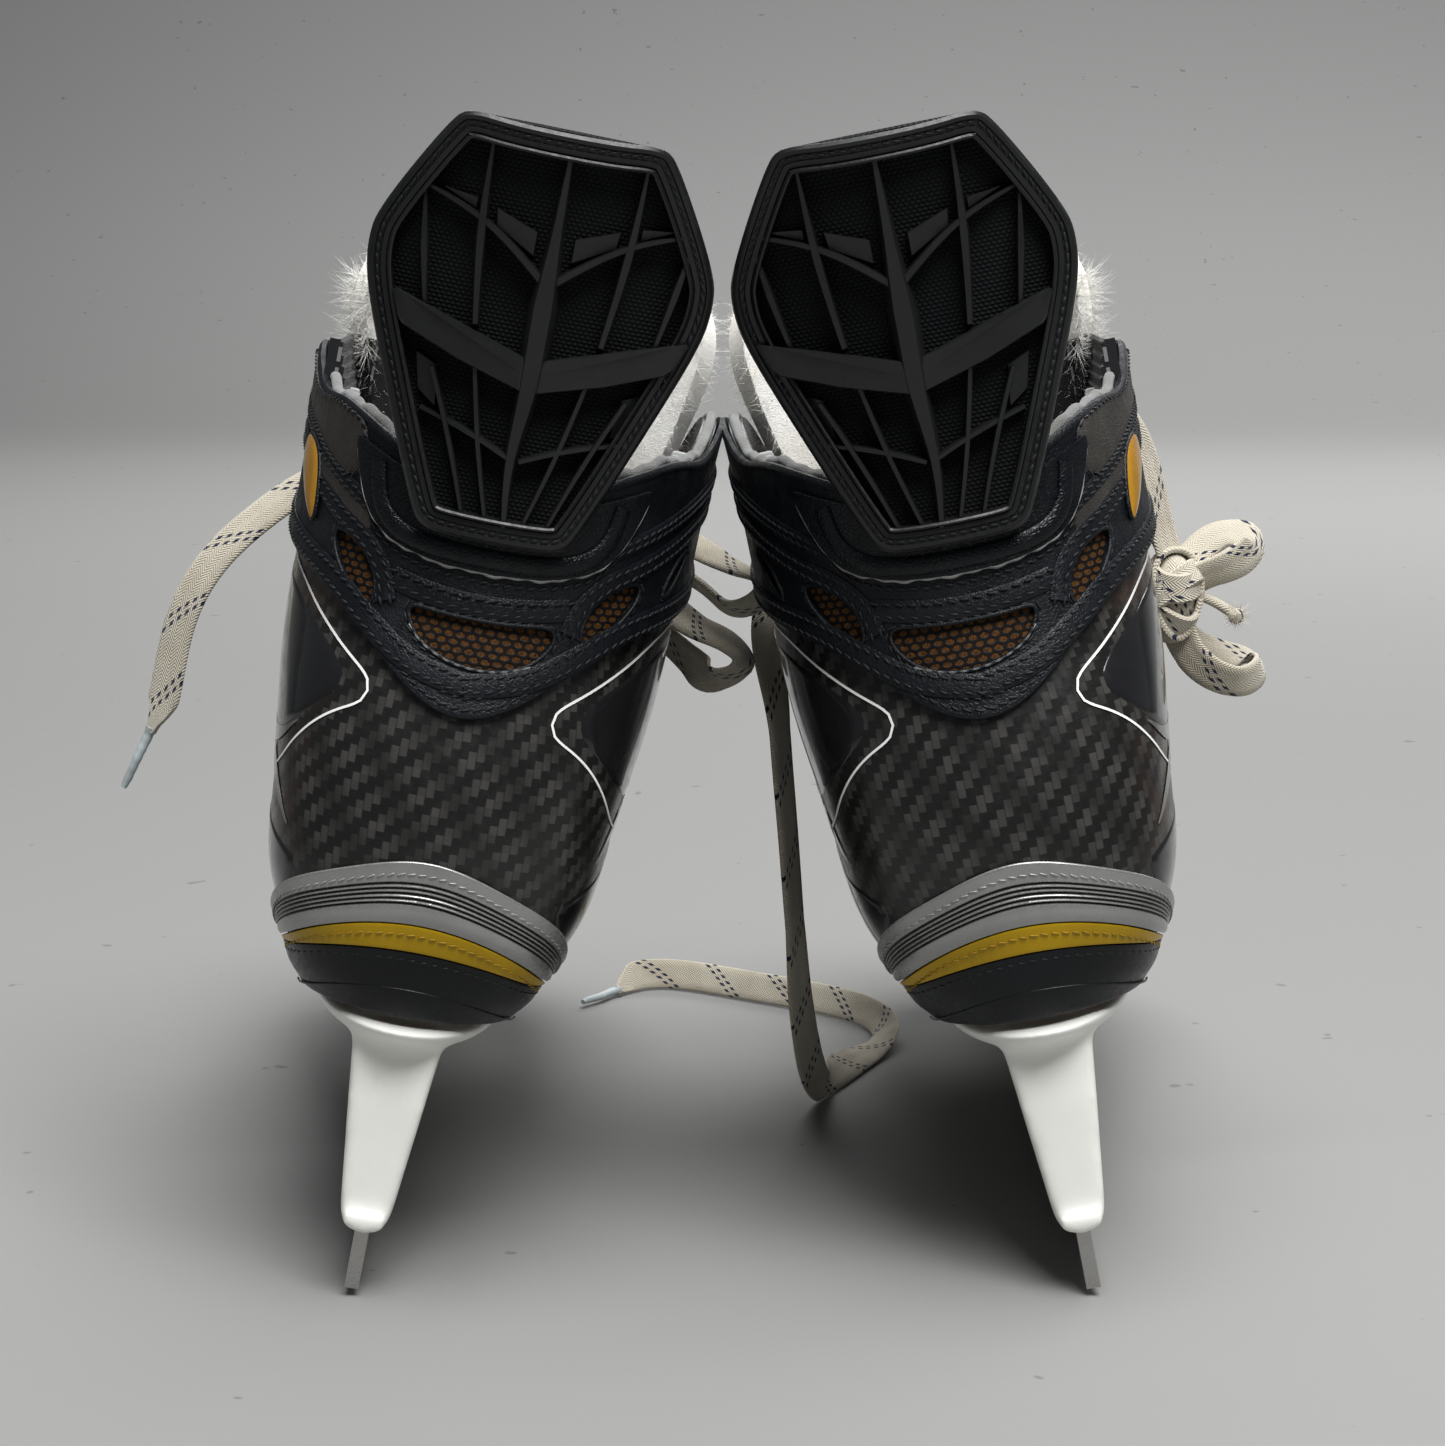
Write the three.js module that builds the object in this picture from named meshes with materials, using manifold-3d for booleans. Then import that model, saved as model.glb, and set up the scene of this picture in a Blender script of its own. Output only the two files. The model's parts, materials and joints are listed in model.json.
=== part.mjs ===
// A pair of junior hockey skates that lean on each other at their cuffs, toes away and blades on the ground.
// Millimetres. Each skate is built in a frame of its own: x across it, towards the other skate, y forwards to the
// toe, z up from the ice. The right skate is the mirror image of the left one; the lace ends are placed in the pair's
// frame, which stands on the ground with +Z up, +Y towards the toes and its origin midway between the skates.
import * as THREE from "three";
import { mergeVertices } from "three/addons/utils/BufferGeometryUtils.js";
import Module from "manifold-3d";

const wasm = await Module();
wasm.setup();

// ---------------------------------------------------------------- driving dimensions
const STANCE_HALF = 78.6; // from the middle of the pair to a blade: the cuffs almost touch
const LEAN = THREE.MathUtils.degToRad(11.3); // tops of the skates lean together
const TOE_OUT = THREE.MathUtils.degToRad(2.5);
const GAP = 0.35; // clearance between pieces that touch
const SKIN_GAP = 0.7; // clearance between layers that follow the boot's curved skin
const LINER_GAP = 0.9;

const RUNNER_THICK = 3;
const RUNNER_REAR = 6;
const RUNNER_FRONT = 236;
const RUNNER_DEPTH = 17; // steel that shows below the holder
const RUNNER_SEAT = 8; // steel hidden in the holder's groove
const TANG_THICK = 2.7; // the hidden steel is ground a little thinner, down to a shoulder just below the holder
const ROCKER_RISE = 2.2; // how far the blade's ends lift off the ice

const HOLDER_LOW_WIDTH = 10.5;
const HOLDER_TOP_WIDTH = 19.6;
const FLANGE_THICK = 3;
const BOLT_RADIUS = 2.5;
const BOLT_HEAD_RADIUS = 4.2;
const BOLT_HEAD_HEIGHT = 3;
const RIVET_RADIUS = 1.8;
const RIVET_HEAD_RADIUS = 3.2;
const RIVET_HEAD_HEIGHT = 1.1;

const SOLE_THICK = 4; // outsole plate
const RIM_THICK = 1.9; // outsole rim, heel stripe and heel band
const SHELL_THICK = 3.2;
const LINER_THICK = 4;
const FOOTBED_THICK = 3.6;
const COLLAR_THICK = 1.3;
const GUARD_BASE_THICK = 0.8;
const EYESTAY_THICK = 1.8;
const TOE_CAP_THICK = 2.6;
const TONGUE_THICK = 6;

const GUARD_FOOT = 163; // height of the tendon guard's lower edge, where it flexes
const GUARD_HEIGHT = 84.5;
const GUARD_THICK = 2.6;
const GUARD_BACKING = 1.2;
const GUARD_BEND = 60; // radius of the guard across its width

const LACE_DIAMETER = 3.4; // a loose stretch of lace as a plain round cord
const LACE_THICK = 1.6;
const CROSSED_LACE_WIDTH = 4.4; // the lace is flat and narrow where it is pulled tight
const EYELET_PAIRS = 9;
const AGLET_DIAMETER = 3.2;
const AGLET_LENGTH = 17;

// Colours of the bare materials.
const STEEL = new THREE.MeshStandardMaterial({ color: 0x9b9b98, roughness: 0.3, metalness: 1 });
const WHITE_NYLON = new THREE.MeshStandardMaterial({ color: 0xf1efe8, roughness: 0.42 });
const BLACK_RUBBER = new THREE.MeshStandardMaterial({ color: 0x15171b, roughness: 0.6 });
const GOLD_VINYL = new THREE.MeshStandardMaterial({ color: 0xb98f0a, roughness: 0.35 });
const SILVER_VINYL = new THREE.MeshStandardMaterial({ color: 0x8d8d8b, roughness: 0.4, metalness: 0.3 });
const CARBON_PRINT = new THREE.MeshStandardMaterial({ color: 0x3a3835, roughness: 0.25 });
const BLACK_LEATHER = new THREE.MeshStandardMaterial({ color: 0x16191f, roughness: 0.5 });
const GREY_LINING = new THREE.MeshStandardMaterial({ color: 0x8b8d8c, roughness: 0.95 });
const WHITE_FELT = new THREE.MeshStandardMaterial({ color: 0xe9e4d8, roughness: 1 });
const BLACK_MESH = new THREE.MeshStandardMaterial({ color: 0x0d0f12, roughness: 0.9 });
const COTTON = new THREE.MeshStandardMaterial({ color: 0xd8d0bd, roughness: 0.95 });
const LABEL_CLOTH = new THREE.MeshStandardMaterial({ color: 0x101114, roughness: 0.8 });
const AGLET_PLASTIC = new THREE.MeshStandardMaterial({ color: 0x6f7f86, roughness: 0.4 });

// ---------------------------------------------------------------- the boot's last
// Seven columns of one side, from the middle of the heel (0) to the toe cap's seam (1). Each has six points, from
// the sole's edge up to the top line: [x, y, z].
const LAST = [
  { at: 0.0, points: [[0, 4.5, 63], [0, -2, 82], [0, -3, 102], [0, 1.5, 124], [0, 7, 146], [0, 8.5, 172]] },
  { at: 0.12, points: [[18, 9.5, 63], [23.5, 5, 82], [26, 5, 102], [26, 9, 124], [23, 14, 146], [22, 15.5, 178]] },
  { at: 0.25, points: [[27.5, 29, 62], [33, 27, 82], [36, 27, 102], [37.5, 29, 124], [36.5, 32, 148], [34.5, 33, 183]] },
  { at: 0.38, points: [[28, 62, 60], [34, 60, 79], [37.5, 58, 101], [41, 57, 125], [42, 57, 152], [41.5, 58, 184.5]] },
  { at: 0.51, points: [[27, 94, 58], [34, 93, 76], [38, 91, 98], [40.5, 90, 125], [41, 91, 156], [43.5, 93, 189]] },
  { at: 0.62, points: [[30, 122, 56], [37, 120, 71], [40, 117, 90], [39, 113, 112], [36, 109, 136], [33, 105, 162]] },
  { at: 0.77, points: [[36, 154, 55], [41, 152, 66], [42, 150, 79], [38, 147, 93], [32, 142, 108], [24, 135, 125]] },
  { at: 1.0, points: [[37, 192, 55], [41, 190, 65], [40.5, 188, 76], [36, 185, 87], [28, 181, 96], [18, 175, 103]] },
];
const LAST_ROWS = 6;
const COLLAR_END = 0.525; // where the leather collar meets the eyestay
const EYESTAY_FROM = 0.54;
const EYESTAY_TO = 0.985;
const EYESTAY_LOW = 0.8; // share of the height where the eyestay starts
const EYELET_LEVEL = 0.9;
const LINER_END = 0.43;

// A natural cubic spline through points of any dimension.
function naturalSpline(knots, values) {
  const last = knots.length - 1;
  const width = values[0].length;
  const bend = values.map(() => new Array(width).fill(0));
  const upper = new Array(last + 1).fill(0);
  for (let i = 1; i < last; i++) {
    const before = knots[i] - knots[i - 1];
    const after = knots[i + 1] - knots[i];
    const pivot = 2 * (before + after) - before * upper[i - 1];
    upper[i] = after / pivot;
    for (let k = 0; k < width; k++) {
      const turn = (values[i + 1][k] - values[i][k]) / after - (values[i][k] - values[i - 1][k]) / before;
      bend[i][k] = (6 * turn - before * bend[i - 1][k]) / pivot;
    }
  }
  for (let i = last - 1; i > 0; i--) {
    for (let k = 0; k < width; k++) bend[i][k] -= upper[i] * bend[i + 1][k];
  }
  return (x) => {
    let i = 0;
    while (i < last - 1 && x > knots[i + 1]) i++;
    const span = knots[i + 1] - knots[i];
    const d = x - knots[i];
    const e = knots[i + 1] - x;
    return values[i].map(
      (v, k) =>
        (bend[i][k] * e ** 3 + bend[i + 1][k] * d ** 3) / (6 * span) +
        (v / span - (bend[i][k] * span) / 6) * e +
        (values[i + 1][k] / span - (bend[i + 1][k] * span) / 6) * d,
    );
  };
}

const mirroredColumns = LAST.slice(1)
  .reverse()
  .map(({ at, points }) => ({ at: -at, points: points.map(([x, y, z]) => [-x, y, z]) }));
const allColumns = [...mirroredColumns, ...LAST];
const columnSpline = naturalSpline(
  allColumns.map((c) => c.at),
  allColumns.map((c) => c.points.flat()),
);
const rowKnots = Array.from({ length: LAST_ROWS }, (_, i) => i / (LAST_ROWS - 1));
const profiles = new Map();

// A point on the boot's outer skin: t runs round the boot from -1 to 1, v up it from 0 to 1.
function lastPoint(t, v) {
  if (!profiles.has(t)) {
    const flat = columnSpline(t);
    profiles.set(t, naturalSpline(rowKnots, rowKnots.map((_, i) => flat.slice(3 * i, 3 * i + 3))));
  }
  return new THREE.Vector3(...profiles.get(t)(v));
}

// The same point, moved out along the skin's normal.
function onBoot(t, v, out = 0) {
  const step = 0.002;
  const [t0, t1] = [Math.max(-1, t - step), Math.min(1, t + step)];
  const [v0, v1] = [Math.max(0, v - step), Math.min(1, v + step)];
  const along = lastPoint(t1, v).sub(lastPoint(t0, v));
  const up = lastPoint(t, v1).sub(lastPoint(t, v0));
  return lastPoint(t, v).addScaledVector(along.cross(up).normalize(), out);
}

// The share v at which the skin reaches a height.
function levelOf(t, height) {
  let [low, high] = [0, 1];
  for (let i = 0; i < 24; i++) {
    const middle = (low + high) / 2;
    if (lastPoint(t, middle).z < height) low = middle;
    else high = middle;
  }
  return (low + high) / 2;
}

// A line across the boot at the heights given for each distance from the heel's middle.
function seam(points) {
  const height = naturalSpline(points.map((p) => p[0]), points.map((p) => [p[1]]));
  return (t) => levelOf(t, height(Math.abs(t))[0]);
}
const collarLowerEdge = seam([[0, 127], [0.08, 136], [0.17, 146], [0.25, 150], [0.38, 152.5], [0.53, 158]]);
const guardBaseEdge = seam([[0, 158], [0.05, 158.3], [0.09, 159.5], [0.14, 165], [0.175, 176]]);
const bandTop = seam([[0, 97], [0.06, 93.5], [0.11, 89], [0.16, 84], [0.2, 79.5], [0.27, 73]]);
const stripeTop = seam([[0, 84.3], [0.08, 80.8], [0.155, 75.2], [0.2, 72.6], [0.27, 69]]);
const rimTop = seam([[0, 78.4], [0.08, 76.4], [0.15, 73.2], [0.2, 71.4], [0.27, 68.4]]);
const BAND_END = 0.28;
const RIM_END = 0.985;
const RIM_SIDE_RISE = 5; // height of the rim on the boot's sides
const GUARD_BASE_END = 0.17;
const GUARD_SEAT = 2 * SKIN_GAP + COLLAR_THICK + GUARD_BASE_THICK; // from the boot's skin to the guard's base

// ---------------------------------------------------------------- shape helpers
// A closed body through rings of points. Each ring runs out and back, so its ends close as a ladder, and each
// four-sided face is split along its shorter diagonal, so that layers of one surface stay parallel.
function loft(rings) {
  const count = rings[0].length;
  const points = rings.flat();
  const index = [];
  const face = (a, b, c, d) => {
    if (points[a].distanceToSquared(points[c]) <= points[b].distanceToSquared(points[d]) + 1e-6) {
      index.push(a, b, c, a, c, d);
    } else {
      index.push(a, b, d, b, c, d);
    }
  };
  for (let i = 0; i < rings.length - 1; i++) {
    for (let j = 0; j < count; j++) {
      const [a, b] = [i * count + j, i * count + ((j + 1) % count)];
      face(a, b, b + count, a + count);
    }
  }
  const end = (rings.length - 1) * count;
  for (let j = 0; j < count / 2 - 1; j++) {
    const [a, b, c, d] = [j, j + 1, count - 2 - j, count - 1 - j];
    face(a, d, c, b);
    face(end + a, end + b, end + c, end + d);
  }
  return new THREE.BufferGeometry().setFromPoints(points).setIndex(index);
}

// A geometry as a manifold solid, turned right side out.
function solid(geometry) {
  const bare = (geometry.index ? geometry.toNonIndexed() : geometry).clone();
  bare.deleteAttribute("normal");
  bare.deleteAttribute("uv");
  const merged = mergeVertices(bare, 1e-4);
  const vertProperties = merged.attributes.position.array;
  const triVerts = new Uint32Array(merged.index.array);
  const made = new wasm.Manifold(new wasm.Mesh({ numProp: 3, vertProperties, triVerts }));
  if (made.volume() > 0) return made;
  for (let i = 0; i < triVerts.length; i += 3) [triVerts[i], triVerts[i + 1]] = [triVerts[i + 1], triVerts[i]];
  return new wasm.Manifold(new wasm.Mesh({ numProp: 3, vertProperties, triVerts }));
}

function geometryOf(manifold) {
  const mesh = manifold.getMesh();
  const positions = new Float32Array(mesh.numVert * 3);
  for (let i = 0; i < mesh.numVert; i++) {
    positions.set(mesh.vertProperties.subarray(i * mesh.numProp, i * mesh.numProp + 3), i * 3);
  }
  const geometry = new THREE.BufferGeometry().setAttribute("position", new THREE.BufferAttribute(positions, 3));
  return geometry.setIndex(new THREE.BufferAttribute(mesh.triVerts, 1));
}

const join = (first, ...others) => others.reduce((sum, other) => sum.add(other), first);
const cut = (first, ...others) => others.reduce((rest, other) => rest.subtract(other), first);

// Every patch has its corners on the same lines round the boot, closer at the heel, so that layers stay clear.
const halfTurns = [
  ...Array.from({ length: 8 }, (_, i) => 0.04 * i),
  ...Array.from({ length: 9 }, (_, i) => 0.28 + 0.075 * (i + 1)),
];
const turns = [...halfTurns.slice(1).map((t) => -t).reverse(), ...halfTurns];
const stations = (from, to) => [from, ...turns.filter((t) => t > from + 0.015 && t < to - 0.015), to];

// A patch of the boot's skin, between two lines that run round it, with a thickness.
function patch({ from, to, lower, upper, rows, inner, outer }) {
  const rings = [];
  for (const t of stations(from, to)) {
    const [low, high] = [lower(t), upper(t)];
    const levels = Array.from({ length: rows + 1 }, (_, j) => THREE.MathUtils.lerp(low, high, j / rows));
    rings.push([...levels.map((v) => onBoot(t, v, outer)), ...levels.reverse().map((v) => onBoot(t, v, inner))]);
  }
  return solid(loft(rings));
}

function cylinder(radius, from, to, sides = 8) {
  const height = from.distanceTo(to);
  const geometry = new THREE.CylinderGeometry(radius, radius, height, sides);
  const turn = new THREE.Quaternion().setFromUnitVectors(
    new THREE.Vector3(0, 1, 0),
    to.clone().sub(from).normalize(),
  );
  geometry.applyQuaternion(turn);
  geometry.translate(...from.clone().lerp(to, 0.5).toArray());
  return geometry;
}

// A flat shape in y and z, given a thickness across x that may change with height.
function slab(points, widthAt) {
  const shape = new THREE.Shape(points.map(([y, z]) => new THREE.Vector2(y, z)));
  const geometry = new THREE.ExtrudeGeometry(shape, { depth: 1, bevelEnabled: false });
  const p = geometry.attributes.position;
  for (let i = 0; i < p.count; i++) {
    const [y, z, side] = [p.getX(i), p.getY(i), p.getZ(i) - 0.5];
    p.setXYZ(i, side * widthAt(z), y, z);
  }
  return geometry;
}

// ---------------------------------------------------------------- sole
const TOE_TIP = 238;
const TOE_SEAM = 192;

function soleBottom(y) {
  return naturalSpline([0, 60, 120, 160, 200, 240], [[63], [60.4], [56.2], [55], [55.4], [58]])(y)[0];
}

// Half the sole's width at a distance from the heel.
function soleHalfWidth(y) {
  if (y > TOE_SEAM) return 37 * (1 - ((y - TOE_SEAM) / (TOE_TIP - TOE_SEAM)) ** 2.4) ** (1 / 2.2);
  let [low, high] = [0, 1];
  for (let i = 0; i < 24; i++) {
    const middle = (low + high) / 2;
    if (lastPoint(middle, 0).y < y) low = middle;
    else high = middle;
  }
  return lastPoint(low, 0).x;
}

// A plate that follows the sole: inset from its edge, between two heights above its underside.
function solePlate(from, to, steps, inset, low, high, chamfer) {
  const rings = [];
  for (let i = 0; i <= steps; i++) {
    const y = THREE.MathUtils.lerp(from, to, (1 - Math.cos((Math.PI * i) / steps)) / 2);
    const w = Math.max(2, soleHalfWidth(y) - inset);
    const z = soleBottom(y);
    const cutback = Math.min(chamfer, w / 2);
    rings.push(
      [[-w, z + high], [w, z + high], [w, z + low + chamfer], [w - cutback, z + low]]
        .concat([[cutback - w, z + low], [-w, z + low + chamfer]])
        .map(([x, zz]) => new THREE.Vector3(x, y, zz)),
    );
  }
  return solid(loft(rings));
}

// ---------------------------------------------------------------- the blade and its holder
const RUNNER_TOP = RUNNER_DEPTH + RUNNER_SEAT;
const HOLDER_FOOT = RUNNER_DEPTH - 0.5;
const BOLTS = [{ name: "rear", y: 44 }, { name: "front", y: 172 }];
const LUG_HALF = 7;
const LUG_TOP = 36;
const RIVETS = [
  { name: "heel_outer", x: -14, y: 70 },
  { name: "heel_inner", x: 14, y: 70 },
  { name: "toe_outer", x: -18, y: 142 },
  { name: "toe_inner", x: 18, y: 142 },
];

function runnerProfile(grow = 0) {
  const bottom = [];
  const steps = 8;
  for (let i = 0; i <= steps; i++) {
    const y = THREE.MathUtils.lerp(RUNNER_REAR + 2, RUNNER_FRONT - 10, i / steps);
    const off = Math.max(0, Math.abs(y - (RUNNER_REAR + RUNNER_FRONT) / 2) - 45) / 66;
    bottom.push([y, ROCKER_RISE * off ** 2 - grow]);
  }
  const lugs = [...BOLTS].reverse().flatMap(({ y }) => [
    [y + LUG_HALF + grow, RUNNER_TOP + grow],
    [y + LUG_HALF - 2 + grow, LUG_TOP + grow],
    [y - LUG_HALF + 2 - grow, LUG_TOP + grow],
    [y - LUG_HALF - grow, RUNNER_TOP + grow],
  ]);
  return [
    ...bottom,
    [RUNNER_FRONT - 3 + grow, 6],
    [RUNNER_FRONT + grow, RUNNER_DEPTH - 2],
    [RUNNER_FRONT - 6, RUNNER_TOP + grow],
    ...lugs,
    [RUNNER_REAR + 4 - grow, RUNNER_TOP + grow],
    [RUNNER_REAR - grow, RUNNER_DEPTH - 2],
    [RUNNER_REAR - grow, 1.5],
  ];
}

const boltTip = LUG_TOP - 6;
const boltShaft = (y, radius) =>
  cylinder(radius, new THREE.Vector3(0, y, boltTip), new THREE.Vector3(0, y, soleBottom(y) + SOLE_THICK + 1));

function runner() {
  const blade = solid(slab(runnerProfile(), () => RUNNER_THICK));
  const shoulder = HOLDER_FOOT - GAP;
  const ground = [1, -1].map((side) =>
    solid(new THREE.BoxGeometry(1, 300, 60).translate((side * (TANG_THICK + 1)) / 2, 120, shoulder + 30)),
  );
  return cut(blade, ...ground, ...BOLTS.map(({ y }) => solid(boltShaft(y, BOLT_RADIUS + GAP))));
}

function runnerBolt(y) {
  const seat = soleBottom(y) + SOLE_THICK;
  const head = cylinder(BOLT_HEAD_RADIUS, new THREE.Vector3(0, y, seat - BOLT_HEAD_HEIGHT), new THREE.Vector3(0, y, seat));
  const shaft = cylinder(BOLT_RADIUS, new THREE.Vector3(0, y, boltTip + 1), new THREE.Vector3(0, y, seat - 1));
  const key = cylinder(1.6, new THREE.Vector3(0, y, seat - 1.8), new THREE.Vector3(0, y, seat + 1), 6);
  return cut(join(solid(head), solid(shaft)), solid(key));
}

// Room for a bolt or a rivet in the pieces that it holds together.
function boltRoom(y) {
  const seat = soleBottom(y) + SOLE_THICK;
  const head = cylinder(
    BOLT_HEAD_RADIUS + GAP,
    new THREE.Vector3(0, y, seat - BOLT_HEAD_HEIGHT - GAP),
    new THREE.Vector3(0, y, seat + 4),
  );
  const shaft = cylinder(BOLT_RADIUS + GAP, new THREE.Vector3(0, y, boltTip - 1), new THREE.Vector3(0, y, seat));
  return join(solid(head), solid(shaft));
}
const rivetFoot = (y) => soleBottom(y) - GAP - FLANGE_THICK;
function rivetBody(x, y, grow = 0) {
  const foot = rivetFoot(y);
  const top = soleBottom(y) + SOLE_THICK;
  const shaft = cylinder(RIVET_RADIUS + grow, new THREE.Vector3(x, y, foot - 0.5), new THREE.Vector3(x, y, top), 6);
  const profile = [[0, -RIVET_HEAD_HEIGHT], [RIVET_HEAD_RADIUS * 0.6, -RIVET_HEAD_HEIGHT], [RIVET_HEAD_RADIUS, 0], [0, 0]];
  const head = new THREE.LatheGeometry(profile.map(([r, z]) => new THREE.Vector2(r, z)), 8);
  head.rotateX(Math.PI / 2).translate(x, y, foot - GAP);
  return grow ? solid(shaft) : join(solid(shaft), solid(head));
}

// A flange that spreads under the outsole from the top of a tower.
function flange(from, to, halfWidth) {
  const rings = [];
  const steps = 6;
  for (let i = 0; i <= steps; i++) {
    const s = i / steps;
    const y = THREE.MathUtils.lerp(from, to, s);
    const round = Math.sqrt(Math.max(0.12, 1 - (2 * s - 1) ** 4));
    const w = halfWidth * round;
    const z = soleBottom(y) - GAP;
    rings.push(
      [[-w, z], [w, z], [w, z - 1.4], [w - 4, z - FLANGE_THICK], [4 - w, z - FLANGE_THICK], [-w, z - 1.4]].map(
        ([x, zz]) => new THREE.Vector3(x, y, zz),
      ),
    );
  }
  return solid(loft(rings));
}

const REAR_TOWER = { from: 9, to: 86 };
const FRONT_TOWER = { from: 124, to: 214 };

function bladeHolder() {
  const low = HOLDER_FOOT;
  const top = (y) => soleBottom(y) - GAP - 1;
  const outline = [
    [RUNNER_REAR - 1, low + 2],
    [RUNNER_REAR + 1, low],
    [RUNNER_FRONT - 14, low],
    [RUNNER_FRONT - 7, low + 5],
    [RUNNER_FRONT - 7, low + 12],
    [RUNNER_FRONT - 14, low + 23],
    [FRONT_TOWER.to, top(FRONT_TOWER.to)],
    [FRONT_TOWER.to - 30, top(FRONT_TOWER.to - 30)],
    [FRONT_TOWER.from + 22, top(FRONT_TOWER.from + 22)],
    [FRONT_TOWER.from, top(FRONT_TOWER.from)],
    [FRONT_TOWER.from + 9, 43],
    [FRONT_TOWER.from + 13, 33],
    [FRONT_TOWER.from + 4, 27.5],
    [REAR_TOWER.to - 4, 28],
    [REAR_TOWER.to - 13, 34],
    [REAR_TOWER.to - 8, 46],
    [REAR_TOWER.to, top(REAR_TOWER.to)],
    [REAR_TOWER.to - 30, top(REAR_TOWER.to - 30)],
    [REAR_TOWER.from, top(REAR_TOWER.from)],
    [RUNNER_REAR, 42],
  ];
  const taper = (z) => THREE.MathUtils.mapLinear(z, low, 58, HOLDER_LOW_WIDTH, HOLDER_TOP_WIDTH);
  const towers = solid(slab(outline, taper));
  const flanges = [flange(REAR_TOWER.from, REAR_TOWER.to + 2, 20.5), flange(FRONT_TOWER.from - 2, FRONT_TOWER.to + 4, 27)];
  const groove = solid(slab(runnerProfile(GAP), () => RUNNER_THICK + 2 * GAP));
  return cut(
    join(towers, ...flanges),
    groove,
    ...BOLTS.map(({ y }) => boltRoom(y)),
    ...RIVETS.map(({ x, y }) => rivetBody(x, y, GAP)),
  );
}

// ---------------------------------------------------------------- the boot
function outsole() {
  const plate = solePlate(3.6, TOE_TIP, 14, -RIM_THICK * 0.8, 0, SOLE_THICK, 2.4);
  const rim = patch({
    from: -RIM_END,
    to: RIM_END,
    lower: () => 0,
    upper: (t) => (Math.abs(t) < BAND_END ? rimTop(t) : levelOf(t, lastPoint(t, 0).z + RIM_SIDE_RISE)),
    rows: 1,
    inner: SKIN_GAP,
    outer: RIM_THICK,
  });
  const rooms = [...BOLTS.map(({ y }) => boltRoom(y)), ...RIVETS.map(({ x, y }) => rivetBody(x, y, GAP))];
  return cut(join(plate, rim), ...rooms);
}

const shellFoot = (t) => levelOf(t, lastPoint(t, 0).z + SOLE_THICK + GAP + 0.3);

function bootShell() {
  const skin = { from: -RIM_END, to: RIM_END, lower: shellFoot, upper: () => 1, rows: 6 };
  return patch({ ...skin, inner: -SHELL_THICK, outer: 0 });
}

const heelBand = () =>
  patch({
    from: -BAND_END + 0.01,
    to: BAND_END - 0.01,
    lower: (t) => stripeTop(t) + 0.004,
    upper: bandTop,
    rows: 1,
    inner: SKIN_GAP,
    outer: RIM_THICK,
  });

const heelStripe = () =>
  patch({
    from: -BAND_END + 0.04,
    to: BAND_END - 0.04,
    lower: (t) => rimTop(t) + 0.004,
    upper: (t) => stripeTop(t) - 0.002,
    rows: 1,
    inner: SKIN_GAP,
    outer: RIM_THICK,
  });

const collar = () =>
  patch({
    from: -COLLAR_END,
    to: COLLAR_END,
    lower: collarLowerEdge,
    upper: () => 1,
    rows: 2,
    inner: SKIN_GAP,
    outer: SKIN_GAP + COLLAR_THICK,
  });

const guardBase = () =>
  patch({
    from: -GUARD_BASE_END,
    to: GUARD_BASE_END,
    lower: guardBaseEdge,
    upper: () => 0.985,
    rows: 2,
    inner: GUARD_SEAT - GUARD_BASE_THICK,
    outer: GUARD_SEAT,
  });

const ankleLiner = () =>
  patch({
    from: -LINER_END,
    to: LINER_END,
    lower: (t) => shellFoot(t) + 0.04,
    upper: () => 0.985,
    rows: 5,
    inner: -SHELL_THICK - LINER_GAP - LINER_THICK,
    outer: -SHELL_THICK - LINER_GAP,
  });

const eyestay = (side) =>
  patch({
    from: side > 0 ? EYESTAY_FROM : -EYESTAY_TO,
    to: side > 0 ? EYESTAY_TO : -EYESTAY_FROM,
    lower: () => EYESTAY_LOW,
    upper: () => 0.995,
    rows: 2,
    inner: SKIN_GAP,
    outer: SKIN_GAP + EYESTAY_THICK,
  });

const footbed = () => {
  const low = SOLE_THICK + GAP;
  return solePlate(16, TOE_TIP - 14, 12, SHELL_THICK + LINER_THICK + 3, low, low + FOOTBED_THICK, 1.2);
};

// The toe cap is a row of arches that lean back to meet the quarters.
const CAP_ARCHES = [
  { y: 194, top: 105 },
  { y: 203, top: 104.5 },
  { y: 213, top: 101.5 },
  { y: 222, top: 96 },
  { y: 229, top: 88 },
  { y: 234, top: 78.5 },
  { y: 236.8, top: 70 },
];
const CAP_LEAN = 0.38;

function toeCap() {
  const arch = ({ y, top }, inset) => {
    const w = soleHalfWidth(y) + 4.2 * Math.sqrt(Math.max(0, 1 - (y - 194) / 46)) - inset;
    const foot = soleBottom(y) + SOLE_THICK + GAP;
    const lean = (CAP_LEAN * (CAP_ARCHES.at(-1).y - y)) / (CAP_ARCHES.at(-1).y - CAP_ARCHES[0].y);
    return Array.from({ length: 9 }, (_, i) => {
      const a = (Math.PI * i) / 8;
      const z = foot + (top - inset - foot) * Math.sin(a) ** 0.75;
      return new THREE.Vector3(-Math.sign(Math.cos(a)) * w * Math.abs(Math.cos(a)) ** 0.8, y - lean * (z - foot), z);
    });
  };
  return solid(loft(CAP_ARCHES.map((a) => [...arch(a, 0), ...arch(a, TOE_CAP_THICK).reverse()])));
}

// ---------------------------------------------------------------- the tongue
// Stations up the tongue's front face: [y, z, half width, radius across].
const TONGUE = [
  [171, 97, 15, 24],
  [156, 107, 20, 27],
  [140, 118.5, 25, 30],
  [125, 133, 29, 33],
  [114, 151, 32, 40],
  [107.5, 169, 34.5, 48],
  [104, 186, 38, 56],
  [102, 203, 41.5, 62],
  [101.5, 215, 38.5, 64],
  [101.5, 223, 29, 64],
];
const TONGUE_HINGE = 6; // the station at which the top flops forward

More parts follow.
